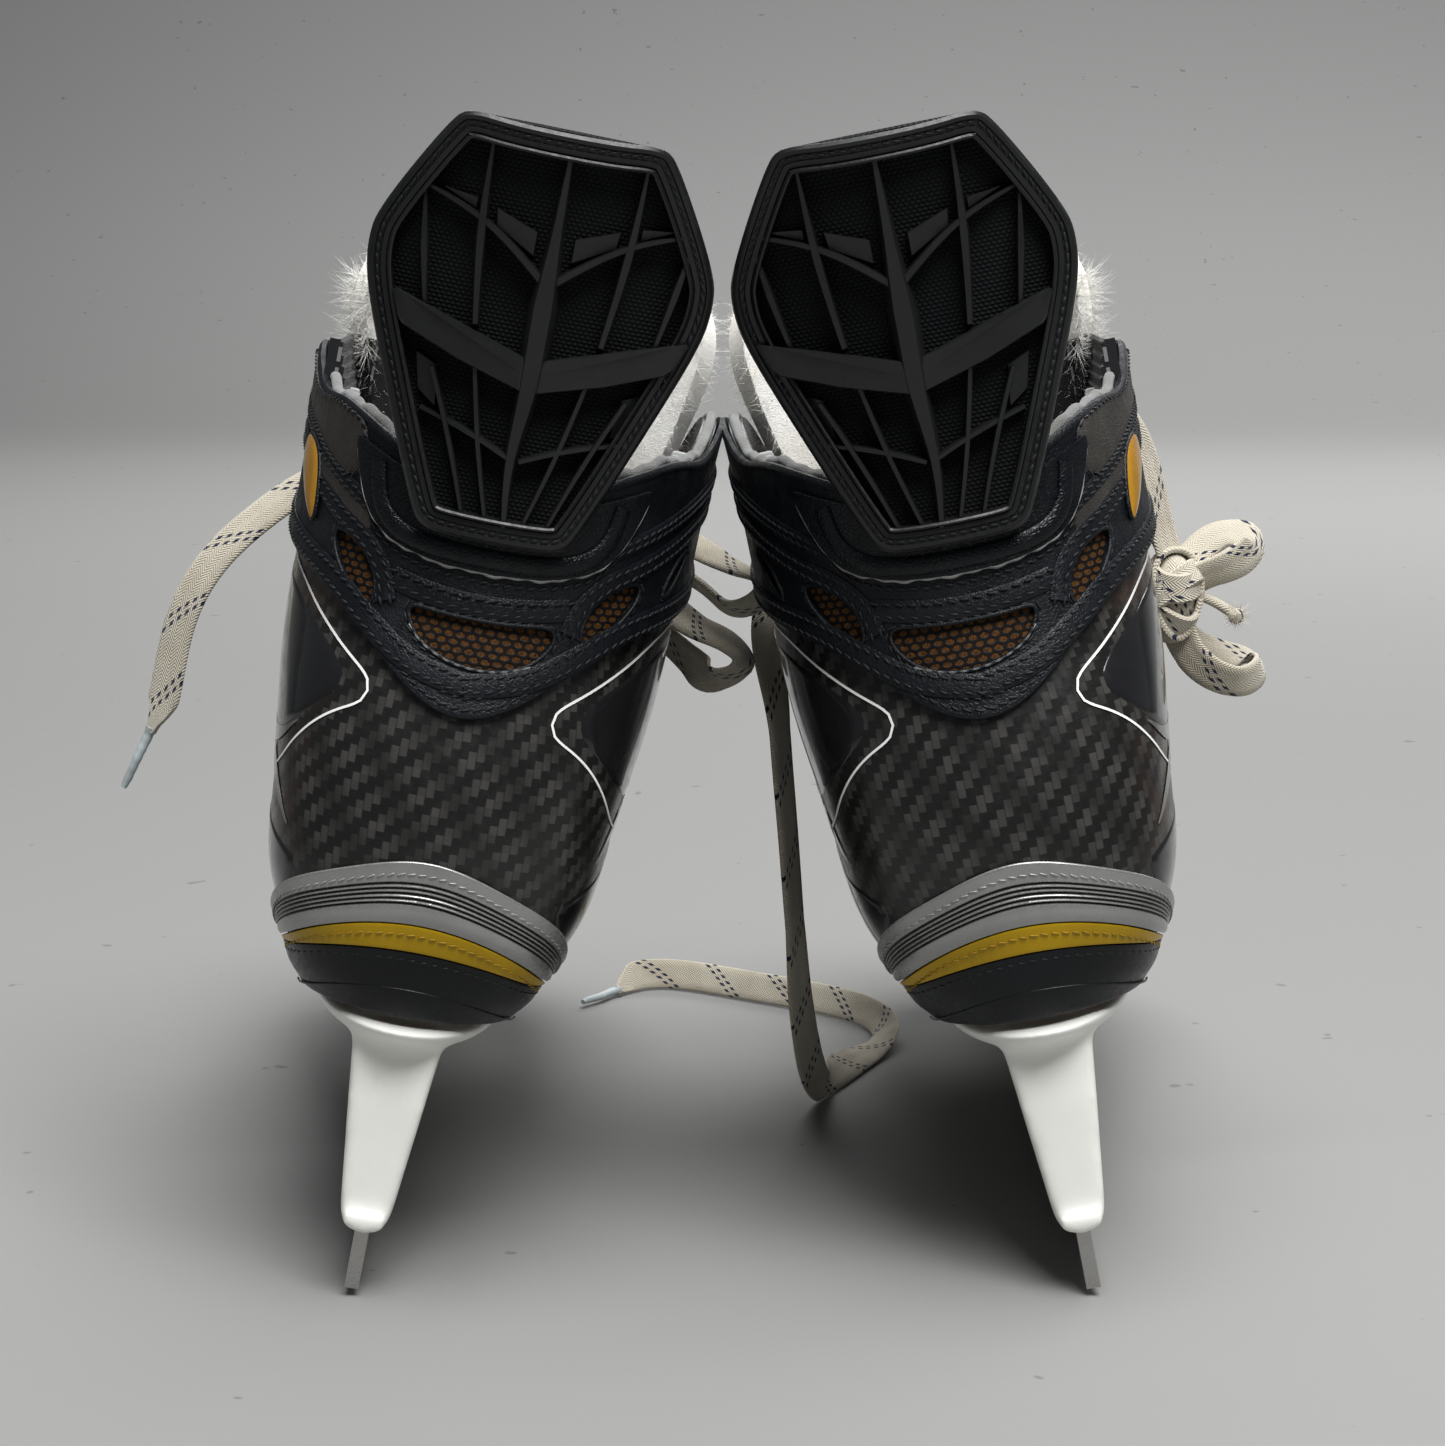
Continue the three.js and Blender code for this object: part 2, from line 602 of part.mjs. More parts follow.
function tongueRing(station, lift = 0) {
  const [y, z, half, radius] = TONGUE[station];
  const before = TONGUE[Math.max(0, station - 1)];
  const after = TONGUE[Math.min(TONGUE.length - 1, station + 1)];
  const tangent = new THREE.Vector3(0, after[0] - before[0], after[1] - before[1]).normalize();
  const normal = new THREE.Vector3(0, tangent.z, -tangent.y);
  const start = new THREE.Vector3(0, y, z).addScaledVector(tangent, lift);
  const across = Array.from({ length: 7 }, (_, i) => half * (i / 3 - 1));
  const face = (depth) =>
    across.map((x) =>
      start
        .clone()
        .add(new THREE.Vector3(x, 0, 0))
        .addScaledVector(normal, -(x * x) / (2 * radius) - depth),
    );
  return [...face(0), ...face(TONGUE_THICK).reverse()];
}

const tongueBody = () => solid(loft(TONGUE.slice(0, TONGUE_HINGE + 1).map((_, i) => tongueRing(i))));
const tongueTop = () =>
  solid(loft(TONGUE.slice(TONGUE_HINGE).map((_, i) => tongueRing(TONGUE_HINGE + i, i ? 0 : 0.6))));

// The size label, sewn to the inner face of the tongue's top. It is blank.
function tongueLabel() {
  const [y, , , radius] = TONGUE[TONGUE_HINGE + 1];
  const label = [];
  for (let i = 0; i <= 4; i++) {
    const x = THREE.MathUtils.lerp(-39, -23, i / 4);
    const back = y - (x * x) / (2 * radius) - TONGUE_THICK - 0.7;
    label.push([[back, 190], [back, 204], [back - 0.8, 204], [back - 0.8, 190]].map(([yy, z]) => new THREE.Vector3(x, yy, z)));
  }
  return solid(loft(label));
}

// ---------------------------------------------------------------- the tendon guard
// Half of the guard's outline, from the middle of its foot to the middle of its top: [x, height above the foot].
const GUARD_OUTLINE = [
  [0, 0],
  [14, 0.6],
  [17, 3],
  [30, 36],
  [34.6, 50],
  [35, 60],
  [22, 82.5],
  [18.5, GUARD_HEIGHT],
  [0, GUARD_HEIGHT - 0.6],
];
// Openings between the guard's ribs, on one side: the mesh behind shows through them.
const GUARD_OPENINGS = [
  [[2.2, 7], [10, 6.5], [14, 24], [2.2, 20]],
  [[2.2, 23], [15, 27], [20, 39], [2.2, 36]],
  [[17, 27], [23, 30], [28, 41], [22.5, 40]],
  [[2.2, 46], [20, 52], [20, 66], [2.2, 60]],
  [[22.5, 53], [30.5, 56], [30, 60], [22.5, 70]],
  [[2.2, 63], [20, 69.5], [17, 79], [2.2, 79]],
];

// A point of the guard: x across, height above its foot, depth outwards from its inner face.
function guardPoint(x, height, depth) {
  const s = height / GUARD_HEIGHT;
  const middle = guardFootY - 1.5 * s - 12.5 * s * s;
  return new THREE.Vector3(x, middle + (x * x) / (2 * GUARD_BEND) - depth, GUARD_FOOT + height);
}
const guardFootY = onBoot(0, levelOf(0, GUARD_FOOT), GUARD_SEAT).y - GAP;

function guardPlate(inner, outer, inset) {
  const half = (height) => {
    for (let i = 1; i < GUARD_OUTLINE.length - 1; i++) {
      const [[x0, z0], [x1, z1]] = [GUARD_OUTLINE[i], GUARD_OUTLINE[i + 1]];
      if (height <= z1) return THREE.MathUtils.lerp(x0, x1, Math.max(0, (height - z0) / (z1 - z0))) - inset;
    }
    return GUARD_OUTLINE.at(-2)[0] - inset;
  };
  const heights = [inset, 3, 19, 36, 50, 60, 82.5, GUARD_HEIGHT - 0.5 - inset];
  const rings = heights.map((height) => {
    const w = half(height);
    const across = Array.from({ length: 7 }, (_, i) => w * (i / 3 - 1));
    return [
      ...across.map((x) => guardPoint(x, height, outer)),
      ...across.reverse().map((x) => guardPoint(x, height, inner)),
    ];
  });
  return solid(loft(rings));
}

function tendonGuard() {
  const cutters = [1, -1].flatMap((side) =>
    GUARD_OPENINGS.map((hole) => {
      const shape = new THREE.Shape(hole.map(([x, z]) => new THREE.Vector2(side * x, GUARD_FOOT + z)));
      const prism = new THREE.ExtrudeGeometry(shape, { depth: 60, bevelEnabled: false });
      return solid(prism.rotateX(Math.PI / 2).translate(0, 30, 0));
    }),
  );
  const seat = GUARD_BACKING + 2 * GAP;
  return cut(guardPlate(seat, seat + GUARD_THICK, 0), ...cutters);
}

// ---------------------------------------------------------------- the laces
// A flat strap through places, each a point and the direction that its flat side faces there.
function strap(places, width, thick) {
  const rings = places.map(([point, facing], i) => {
    const along = places[Math.min(i + 1, places.length - 1)][0].clone().sub(places[Math.max(i - 1, 0)][0]);
    const side = facing.clone().cross(along).normalize().multiplyScalar(width / 2);
    const up = along.clone().cross(side).normalize().multiplyScalar(thick / 2);
    const corners = [[-1, 1], [1, 1], [1, -1], [-1, -1]];
    return corners.map(([a, b]) => point.clone().addScaledVector(side, a).addScaledVector(up, b));
  });
  return solid(loft(rings));
}

// The front of the tongue, as a distance forwards, at a height.
function tongueFront(height) {
  const upper = Math.max(1, TONGUE.findIndex(([, z]) => z > height));
  const [[y0, z0], [y1, z1]] = [TONGUE[upper - 1], TONGUE[upper]];
  return THREE.MathUtils.mapLinear(height, z0, z1, y0, y1);
}

// The eyelets' line runs down the eyestay. This is the boot's turn at a distance along it.
const FIRST_EYELET = EYESTAY_FROM + 0.03;
const LAST_EYELET = EYESTAY_TO - 0.035;
const eyeletTurns = Array.from({ length: 9 }, (_, i) => THREE.MathUtils.lerp(FIRST_EYELET, LAST_EYELET, i / 8));
const eyeletLine = new THREE.CatmullRomCurve3(eyeletTurns.map((t) => onBoot(t, 1)));
const turnAt = (distance) =>
  THREE.MathUtils.lerp(FIRST_EYELET, LAST_EYELET, eyeletLine.getUtoTmapping(distance / eyeletLine.getLength()));

// One half of the crossed lace. It goes to and fro over the tongue, and folds back over itself at every second
// eyelet of each side, so the face that looks outwards changes from one stretch to the next.
function laceRun(startSide, lift) {
  const forward = new THREE.Vector3(0, 1, 0.5).normalize();
  const seat = SKIN_GAP + EYESTAY_THICK + GAP + LACE_THICK / 2 + 0.7;
  const pitch = eyeletLine.getLength() / (EYELET_PAIRS - 1);
  const strand = (side, i, raise) => {
    const t = side * turnAt(i * pitch);
    const outwards = onBoot(t, EYELET_LEVEL, 1).sub(onBoot(t, EYELET_LEVEL));
    const hole = onBoot(t, EYELET_LEVEL, seat + raise);
    const over = onBoot(t, 1, seat).sub(onBoot(t, EYELET_LEVEL, seat)).normalize().multiplyScalar(2);
    return { hole, outwards, edge: onBoot(t, 1, seat + raise).add(over) };
  };
  const run = [];
  for (let i = 0; i < EYELET_PAIRS - 1; i++) {
    const side = i % 2 ? -startSide : startSide;
    const face = i % 2 ? -1 : 1;
    const start = strand(side, i, LACE_THICK + GAP);
    const end = strand(-side, i + 1, 0);
    const middle = start.edge.clone().lerp(end.edge, 0.5);
    middle.y = Math.max(middle.y, tongueFront(middle.z)) + LACE_THICK;
    middle.addScaledVector(forward, lift);
    const places = [
      [start.hole, start.outwards],
      [start.edge, start.outwards.clone().add(forward)],
      [middle, forward],
      [end.edge, end.outwards.clone().add(forward)],
      [end.hole, end.outwards],
    ];
    run.push(...places.map(([point, facing]) => [point, facing.clone().multiplyScalar(face)]));
  }
  return strap(run, CROSSED_LACE_WIDTH, LACE_THICK);
}

// Loose lace. Its points are in the pair's frame, each list in the order in which the lace runs.
const LEFT_KNOT = { centre: [-51, 11.8, 165.3], size: [7, 5.5, 6.5] };
const LEFT_LOOPS = [
  [
    [-48, 11, 166], [-38, 17, 163], [-28, 19, 157], [-16, 15, 151], [-4, 4, 145], [5, -6, 141.5], [10, -11, 138],
    [6, -10, 134], [-4, 0, 136.5], [-16, 11, 142.5], [-28, 16, 149.5], [-38, 16, 157], [-48, 11, 163],
  ],
  [
    [-48, 12, 161], [-38, 19, 154], [-27, 20, 143], [-16, 11, 134], [-5, -4, 127.5], [3, -11, 124], [5, -13, 121],
    [1, -12, 117.5], [-8, -3, 120], [-17, 9, 126.5], [-27, 20, 136], [-38, 20, 147], [-48, 13, 160],
  ],
];
const LEFT_OUTER_END = [
  [-58.6, 12.3, 165.8], [-64, 13, 166], [-71, 12.5, 165.5], [-79, 12, 166], [-87, 9.5, 165.5], [-95, 6, 163],
  [-103, 2, 159], [-110, -1, 154], [-117, -3, 148], [-123, -4, 141], [-127.5, -4.5, 133], [-130.5, -4.5, 124],
  [-132.5, -4.5, 115], [-134.5, -4.5, 108], [-137, -4.5, 103],
];
const LEFT_INNER_END = [
  [-51, 18.4, 164.6], [-52, 22, 160.5], [-53.5, 25, 153], [-55, 28, 145], [-57, 32, 137], [-59, 37.5, 130.5],
  [-61.5, 45, 126.5], [-64, 52.5, 122], [-66.5, 59, 118.3], [-69, 64, 113], [-72, 70.5, 109.8], [-75.5, 77, 108.2],
  [-79, 83.5, 107.6], [-83, 90, 107.2], [-87, 96, 106.2],
];
const RIGHT_KNOT = { centre: [107.5, -2, 136], size: [6, 6, 11] };
const RIGHT_STUB = [[110, -2, 136], [114, -2.3, 135.2], [118, -3.3, 133.5], [122, -5, 131]];
const RIGHT_LOOPS = [
  [[110, 0, 142], [115, 2, 147], [122, 2, 150], [126.5, 0, 148], [123, -2, 144], [116, -3, 141], [110, -2, 138]],
  [
    [108.5, 0, 131], [113, 4, 125], [119, 6, 121], [125, 5, 119.5], [129, 1, 118], [126, -3, 115.5], [119, -5, 116],
    [112, -4, 121], [108, -3, 129],
  ],
];
const RIGHT_LEADS = [
  [[93.4, -8, 178.4], [98.5, -4, 171], [102.5, -2.5, 159], [106, -2, 146]],
  [
    [14.5, -0.5, 163], [26, 8, 168], [42, 13, 172], [58, 14, 176], [74, 11, 178.5], [86, 5, 177], [95, 1, 169],
    [101, 0.5, 157], [106, 0, 146],
  ],
];
const RIGHT_INNER_END = [
  [101, 3, 140], [95, 7, 145], [86, 11, 150], [75, 14, 153.5], [63, 16, 154.5], [51, 16.5, 153], [39, 15.5, 151],
  [27, 13.5, 146.5], [17, 9, 139.5], [11.5, 1, 131], [11, -7, 121], [12.8, -10, 111], [14, -9.5, 99],
  [15, -8.5, 87], [16, -6.5, 75], [17, -4.5, 62], [18, -1, 49], [19, 4, 36], [20.5, 10, 24], [22.5, 18, 13],
  [25, 28, 5.5], [28, 40, 2.1], [33, 54, 1.9], [38, 67, 1.9], [43, 79, 1.9], [45, 90, 1.9], [42, 101, 1.9],
  [35, 110, 1.9], [26, 118, 1.9], [14, 126, 1.9], [2, 134, 1.9], [-10, 141, 1.9], [-18, 143, 1.9],
  [-26, 140, 1.9], [-31, 133, 1.9],
];

function cord(points) {
  const path = new THREE.CatmullRomCurve3(points.map((p) => new THREE.Vector3(...p)), false, "centripetal");
  const section = new THREE.Shape(
    Array.from({ length: 8 }, (_, i) => {
      const angle = (Math.PI * i) / 4;
      return new THREE.Vector2(Math.cos(angle), Math.sin(angle)).multiplyScalar(LACE_DIAMETER / 2);
    }),
  );
  const steps = Math.max(3, Math.round(path.getLength() / (3 * LACE_DIAMETER)));
  return solid(new THREE.ExtrudeGeometry(section, { steps, extrudePath: path }));
}

function bow({ centre, size }, strands) {
  const knot = new THREE.SphereGeometry(1, 10, 6).scale(...size).translate(...centre);
  return join(solid(knot), ...strands.map(cord));
}

// An aglet carries on in the direction in which its lace ends.
function aglet(points) {
  const [before, end] = points.slice(-2).map((p) => new THREE.Vector3(...p));
  const along = end.clone().sub(before).normalize();
  const start = end.clone().addScaledVector(along, GAP);
  return solid(cylinder(AGLET_DIAMETER / 2, start, start.clone().addScaledVector(along, AGLET_LENGTH), 8));
}

// ---------------------------------------------------------------- one skate
function skate(prefix) {
  const group = new THREE.Group();
  const add = (name, manifold, material) => {
    const mesh = new THREE.Mesh(geometryOf(manifold), material);
    mesh.name = `${prefix}_${name}`;
    group.add(mesh);
  };
  add("runner", runner(), STEEL);
  add("blade_holder", bladeHolder(), WHITE_NYLON);
  for (const { name, y } of BOLTS) add(`${name}_runner_bolt`, runnerBolt(y), STEEL);
  for (const { name, x, y } of RIVETS) add(`${name}_rivet`, rivetBody(x, y), STEEL);
  add("outsole", outsole(), BLACK_RUBBER);
  add("heel_stripe", heelStripe(), GOLD_VINYL);
  add("heel_band", heelBand(), SILVER_VINYL);
  add("boot_shell", bootShell(), CARBON_PRINT);
  add("toe_cap", toeCap(), BLACK_RUBBER);
  add("collar", collar(), BLACK_LEATHER);
  add("guard_base", guardBase(), BLACK_LEATHER);
  add("outer_eyestay", eyestay(-1), BLACK_LEATHER);
  add("inner_eyestay", eyestay(1), BLACK_LEATHER);
  add("ankle_liner", ankleLiner(), GREY_LINING);
  add("footbed", footbed(), GREY_LINING);
  add("tongue_body", tongueBody(), WHITE_FELT);
  add("tongue_top", tongueTop(), WHITE_FELT);
  add("tongue_label", tongueLabel(), LABEL_CLOTH);
  add("tendon_guard", tendonGuard(), BLACK_RUBBER);
  add("guard_backing", guardPlate(0, GUARD_BACKING, 1), BLACK_MESH);
  add("under_lace", laceRun(1, 0), COTTON);
  add("over_lace", laceRun(-1, 3.7 * LACE_THICK), COTTON);
  group.rotation.set(0, LEAN, TOE_OUT, "ZYX");
  group.position.x = -STANCE_HALF;
  return group;
}

const rightSkate = new THREE.Group().add(skate("right"));
rightSkate.scale.x = -1;
const skates = new THREE.Group().add(skate("left"), rightSkate);

// Stand the skates on the ground, with their footprint's middle at the origin.
skates.updateMatrixWorld(true);
const box = new THREE.Box3().setFromObject(skates, true);
skates.position.set(0, -(box.min.y + box.max.y) / 2, -box.min.z);

const laces = new THREE.Group();
const addLace = (name, manifold, material) => {
  const mesh = new THREE.Mesh(geometryOf(manifold), material);
  mesh.name = name;
  laces.add(mesh);
};
addLace("left_lace_bow", bow(LEFT_KNOT, LEFT_LOOPS), COTTON);
addLace("left_lace_outer_end", cord(LEFT_OUTER_END), COTTON);
addLace("left_outer_aglet", aglet(LEFT_OUTER_END), AGLET_PLASTIC);
addLace("left_lace_inner_end", cord(LEFT_INNER_END), COTTON);
addLace("left_inner_aglet", aglet(LEFT_INNER_END), AGLET_PLASTIC);
addLace("right_lace_bow", bow(RIGHT_KNOT, [...RIGHT_LEADS, ...RIGHT_LOOPS, RIGHT_STUB]), COTTON);
addLace("right_lace_inner_end", cord(RIGHT_INNER_END), COTTON);
addLace("right_inner_aglet", aglet(RIGHT_INNER_END), AGLET_PLASTIC);

const pair = new THREE.Group().add(skates, laces);

export default pair;
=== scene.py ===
import json
import math
import random

import bpy
import numpy as np
from mathutils import Matrix, Vector


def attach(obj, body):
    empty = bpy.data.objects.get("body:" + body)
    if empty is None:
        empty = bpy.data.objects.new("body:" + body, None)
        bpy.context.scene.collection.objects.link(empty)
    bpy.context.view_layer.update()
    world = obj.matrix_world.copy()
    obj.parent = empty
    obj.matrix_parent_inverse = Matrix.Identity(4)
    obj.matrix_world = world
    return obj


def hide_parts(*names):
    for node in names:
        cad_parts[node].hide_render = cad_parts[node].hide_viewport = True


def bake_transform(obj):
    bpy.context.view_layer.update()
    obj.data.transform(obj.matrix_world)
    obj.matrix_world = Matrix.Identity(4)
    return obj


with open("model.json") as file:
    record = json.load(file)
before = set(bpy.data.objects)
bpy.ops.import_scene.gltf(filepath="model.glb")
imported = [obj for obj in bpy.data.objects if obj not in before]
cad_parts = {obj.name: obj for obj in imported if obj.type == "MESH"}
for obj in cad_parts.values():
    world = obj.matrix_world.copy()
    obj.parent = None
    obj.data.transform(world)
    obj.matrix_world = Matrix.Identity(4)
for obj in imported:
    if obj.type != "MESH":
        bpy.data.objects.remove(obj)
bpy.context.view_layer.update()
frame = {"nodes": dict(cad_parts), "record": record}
rng = random.Random(7)

# The skates' frames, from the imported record.
millimetre = 0.001
mounts = {mount["name"]: mount for mount in frame["record"]["mounts"]}
joints = {joint["name"]: joint for joint in frame["record"]["behaviour"]["joints"]}
across = Vector(joints["left_tendon_guard_flex"]["axis"]).normalized()
upwards = Vector(mounts["left_foot_opening"]["axis"]).normalized()
forwards = upwards.cross(across).normalized()
turned = Matrix((across, forwards, upwards)).transposed()
bladeMark = Vector((-1.5, 121, 9))  # the blade's mount, in the skate's own frame
origin = Vector(mounts["left_blade_outer_face"]["pos_m"]) - turned @ bladeMark * millimetre
leftPlace = Matrix.Translation(origin) @ turned.to_4x4() @ Matrix.Scale(millimetre, 4)
places = {"left": leftPlace, "right": Matrix.Scale(-1, 4, (1, 0, 0)) @ leftPlace}


def makeCamera():
    settings = {"place": (0, -0.7133, 0.230), "downwards": 10, "lens": 74.9}
    data = bpy.data.cameras.new("camera")
    data.lens = settings["lens"]
    data.sensor_width = 36
    camera = bpy.data.objects.new("camera", data)
    camera.location = settings["place"]
    camera.rotation_euler = (math.radians(90 - settings["downwards"]), 0, 0)
    bpy.context.scene.collection.objects.link(camera)
    bpy.context.scene.camera = camera


makeCamera()


# The boot's skin, as in the part's source, but narrower at the heel's foot.
def bendsOf(knots):
    # The matrix that turns values at the knots of a natural cubic spline into its second derivatives.
    size = len(knots)
    left, right = np.eye(size), np.zeros((size, size))
    for i in range(1, size - 1):
        before, after = knots[i] - knots[i - 1], knots[i + 1] - knots[i]
        left[i, i - 1 : i + 2] = before, 2 * (before + after), after
        right[i, i - 1 : i + 2] += 6 / before, -6 / before - 6 / after, 6 / after
    return np.linalg.solve(left, right)


def spline(knots, values, x):
    knots, values, x = (np.asarray(a, float) for a in (knots, values, np.atleast_1d(x)))
    bend = np.tensordot(bendsOf(knots), values, 1)
    i = np.clip(np.searchsorted(knots, x) - 1, 0, len(knots) - 2)
    shape = (len(x),) + (1,) * (values.ndim - 1)
    span, d, e = ((knots[i + 1] - knots[i]), x - knots[i], knots[i + 1] - x)
    span, d, e = span.reshape(shape), d.reshape(shape), e.reshape(shape)
    curved = (bend[i] * e**3 + bend[i + 1] * d**3) / (6 * span)
    return curved + (values[i] / span - bend[i] * span / 6) * e + (
        values[i + 1] / span - bend[i + 1] * span / 6
    ) * d


# Columns of the last from the heel's middle to the toe cap's seam, six points each, from the sole up.
lastColumns = {
    0.0: [(0, 4.5, 63), (0, -2, 82), (0, -3, 102), (0, 1.5, 124), (0, 7, 146), (0, 8.5, 172)],
    0.12: [(15, 11, 63), (23.5, 5, 82), (26, 5, 102), (26, 9, 124), (23, 14, 146), (22, 15.5, 178)],
    0.25: [(22, 28, 62), (33, 27, 82), (36, 27, 102), (37.5, 29, 124), (36.5, 32, 148), (34.5, 33, 183)],
    0.38: [(25, 62, 60), (34, 60, 79), (37.5, 58, 101), (41, 57, 125), (42, 57, 152), (41.5, 58, 184.5)],
    0.51: [(27, 94, 58), (34, 93, 76), (38, 91, 98), (40.5, 90, 125), (41, 91, 156), (43.5, 93, 189)],
    0.62: [(30, 122, 56), (37, 120, 71), (40, 117, 90), (39, 113, 112), (36, 109, 136), (33, 105, 162)],
    0.77: [(36, 154, 55), (41, 152, 66), (42, 150, 79), (38, 147, 93), (32, 142, 108), (24, 135, 125)],
    1.0: [(37, 192, 55), (41, 190, 65), (40.5, 188, 76), (36, 185, 87), (28, 181, 96), (18, 175, 103)],
}
halfKnots = sorted(lastColumns)
columnKnots = [-at for at in halfKnots[:0:-1]] + halfKnots
columnValues = np.array(
    [
        [(-x, y, z) for x, y, z in lastColumns[at]] for at in halfKnots[:0:-1]
    ] + [lastColumns[at] for at in halfKnots],
    float,
)
rowKnots = np.arange(6) / 5
rowBends = bendsOf(rowKnots)


def lastPoint(t, v):
    t, v = np.broadcast_arrays(np.atleast_1d(np.asarray(t, float)), np.atleast_1d(np.asarray(v, float)))
    column = spline(columnKnots, columnValues, t)
    bend = np.einsum("ij,njk->nik", rowBends, column)
    i = np.clip((v * 5).astype(int), 0, 4)
    n = np.arange(len(t))
    d, e, span = (v - i / 5)[:, None], ((i + 1) / 5 - v)[:, None], 0.2
    curved = (bend[n, i] * e**3 + bend[n, i + 1] * d**3) / (6 * span)
    straight = (column[n, i] / span - bend[n, i] * span / 6) * e
    return curved + straight + (column[n, i + 1] / span - bend[n, i + 1] * span / 6) * d


def unit(a):
    return a / np.maximum(np.linalg.norm(a, axis=-1, keepdims=True), 1e-9)


def skinNormal(t, v):
    step = 0.002
    along = lastPoint(np.minimum(1, t + step), v) - lastPoint(np.maximum(-1, t - step), v)
    up = lastPoint(t, np.minimum(1, v + step)) - lastPoint(t, np.maximum(0, v - step))
    return unit(np.cross(along, up))


def onBoot(t, v, out=0.0):
    t, v = np.broadcast_arrays(np.atleast_1d(np.asarray(t, float)), np.atleast_1d(np.asarray(v, float)))
    return lastPoint(t, v) + skinNormal(t, v) * np.reshape(out, (-1, 1))


def levelOf(t, height):
    t = np.atleast_1d(np.asarray(t, float))
    low, high = np.zeros(len(t)), np.ones(len(t))
    for _ in range(22):
        middle = (low + high) / 2
        under = lastPoint(t, middle)[:, 2] < height
        low, high = np.where(under, middle, low), np.where(under, high, middle)
    return (low + high) / 2


def seam(*points):
    knots = [-p[0] for p in points[:0:-1]] + [p[0] for p in points]
    heights = [p[1] for p in points[:0:-1]] + [p[1] for p in points]
    return lambda t: levelOf(t, spline(knots, heights, np.atleast_1d(t)))


collarLowerEdge = seam((0, 127), (0.08, 136), (0.17, 146), (0.25, 150), (0.38, 152.5), (0.53, 158))
guardBaseEdge = seam((0, 156.5), (0.05, 157), (0.09, 158.8), (0.14, 166), (0.175, 178))
bandTop = seam((0, 97), (0.06, 93.5), (0.11, 89), (0.16, 84), (0.2, 79.5), (0.27, 73))
stripeTop = seam((0, 84.3), (0.08, 80.8), (0.155, 75.2), (0.2, 72.6), (0.27, 69))
rimTop = seam((0, 78.4), (0.08, 76.4), (0.15, 73.2), (0.2, 71.4), (0.27, 68.4))

turnScale = (600, 1)  # a turn of 1 round the boot counts as 600 mm when a line is smoothed
turnTable = np.linspace(-1, 1, 401)
middleLine = lastPoint(turnTable, 0.42)
aroundTable = np.concatenate([[0], np.cumsum(np.linalg.norm(np.diff(middleLine, axis=0), axis=1))])
aroundTable -= aroundTable[200]


def around(t):
    # Distance round the boot from the heel's middle, in millimetres.
    return np.interp(t, turnTable, aroundTable)


def deselectAll():
    if bpy.context.object and bpy.context.object.mode != "OBJECT":
        bpy.ops.object.mode_set(mode="OBJECT")
    bpy.ops.object.select_all(action="DESELECT")


def pick(obj):
    deselectAll()
    obj.select_set(True)
    bpy.context.view_layer.objects.active = obj


def readPoints(obj):
    flat = np.zeros(len(obj.data.vertices) * 3)
    obj.data.vertices.foreach_get("co", flat)
    return flat.reshape(-1, 3)


def writePoints(obj, points):
    obj.data.vertices.foreach_set("co", np.asarray(points, float).ravel())
    obj.data.update()


def setUv(obj, perVertex):
    layer = obj.data.uv_layers.get("mm") or obj.data.uv_layers.new(name="mm")
    loops = np.zeros(len(obj.data.loops), int)
    obj.data.loops.foreach_get("vertex_index", loops)
    layer.data.foreach_set("uv", np.asarray(perVertex, float)[loops].ravel())
    for other in [other for other in obj.data.uv_layers if other.name != "mm"]:
        obj.data.uv_layers.remove(other)


def applyModifier(obj, kind, **settings):
    pick(obj)
    modifier = obj.modifiers.new(kind, kind)
    for key, value in settings.items():
        setattr(modifier, key, value)
    bpy.ops.object.modifier_apply(modifier=modifier.name)


def smooth(obj, angle=40):
    pick(obj)
    bpy.ops.object.shade_smooth_by_angle(angle=math.radians(angle))
    return obj


def newMesh(name, points, faces, uv=None):
    data = bpy.data.meshes.new(name)
    data.from_pydata([tuple(p) for p in np.asarray(points, float)], [], [tuple(f) for f in faces])
    data.update()
    obj = bpy.data.objects.new(name, data)
    bpy.context.scene.collection.objects.link(obj)
    if uv is not None:
        setUv(obj, uv)
    return obj


def grid(name, cells):
    deselectAll()
    bpy.ops.mesh.primitive_grid_add(x_subdivisions=cells[0], y_subdivisions=cells[1], size=1)
    obj = bpy.context.object
    obj.name = name
    return obj, readPoints(obj)[:, :2] + 0.5


def skinPatch(name, span, lower, upper, out, thick, cells, edge=0.25):
    # A layer on the boot between two lines that run round it. `out` is its outer face, and may be a function.
    obj, share = grid(name, cells)
    t = span[0] + share[:, 0] * (span[1] - span[0])
    low, high = lower(t), upper(t)
    v = low + share[:, 1] * (high - low)
    lift = out(t, share[:, 1]) if callable(out) else out
    writePoints(obj, onBoot(t, v, lift))
    setUv(obj, np.stack([around(t), lastPoint(t, v)[:, 2]], 1))
    if thick:
        applyModifier(obj, "SOLIDIFY", thickness=thick, offset=-1)
    if edge:
        applyModifier(
            obj, "BEVEL", width=edge, segments=2, limit_method="ANGLE", angle_limit=math.radians(60),
        )
    return smooth(obj)


def level(value):
    return lambda t: np.full(len(np.atleast_1d(t)), float(value))


def roundSection(radius, sides=8):
    return [
        (radius * math.cos(2 * math.pi * k / sides), radius * math.sin(2 * math.pi * k / sides))
        for k in range(sides)
    ]


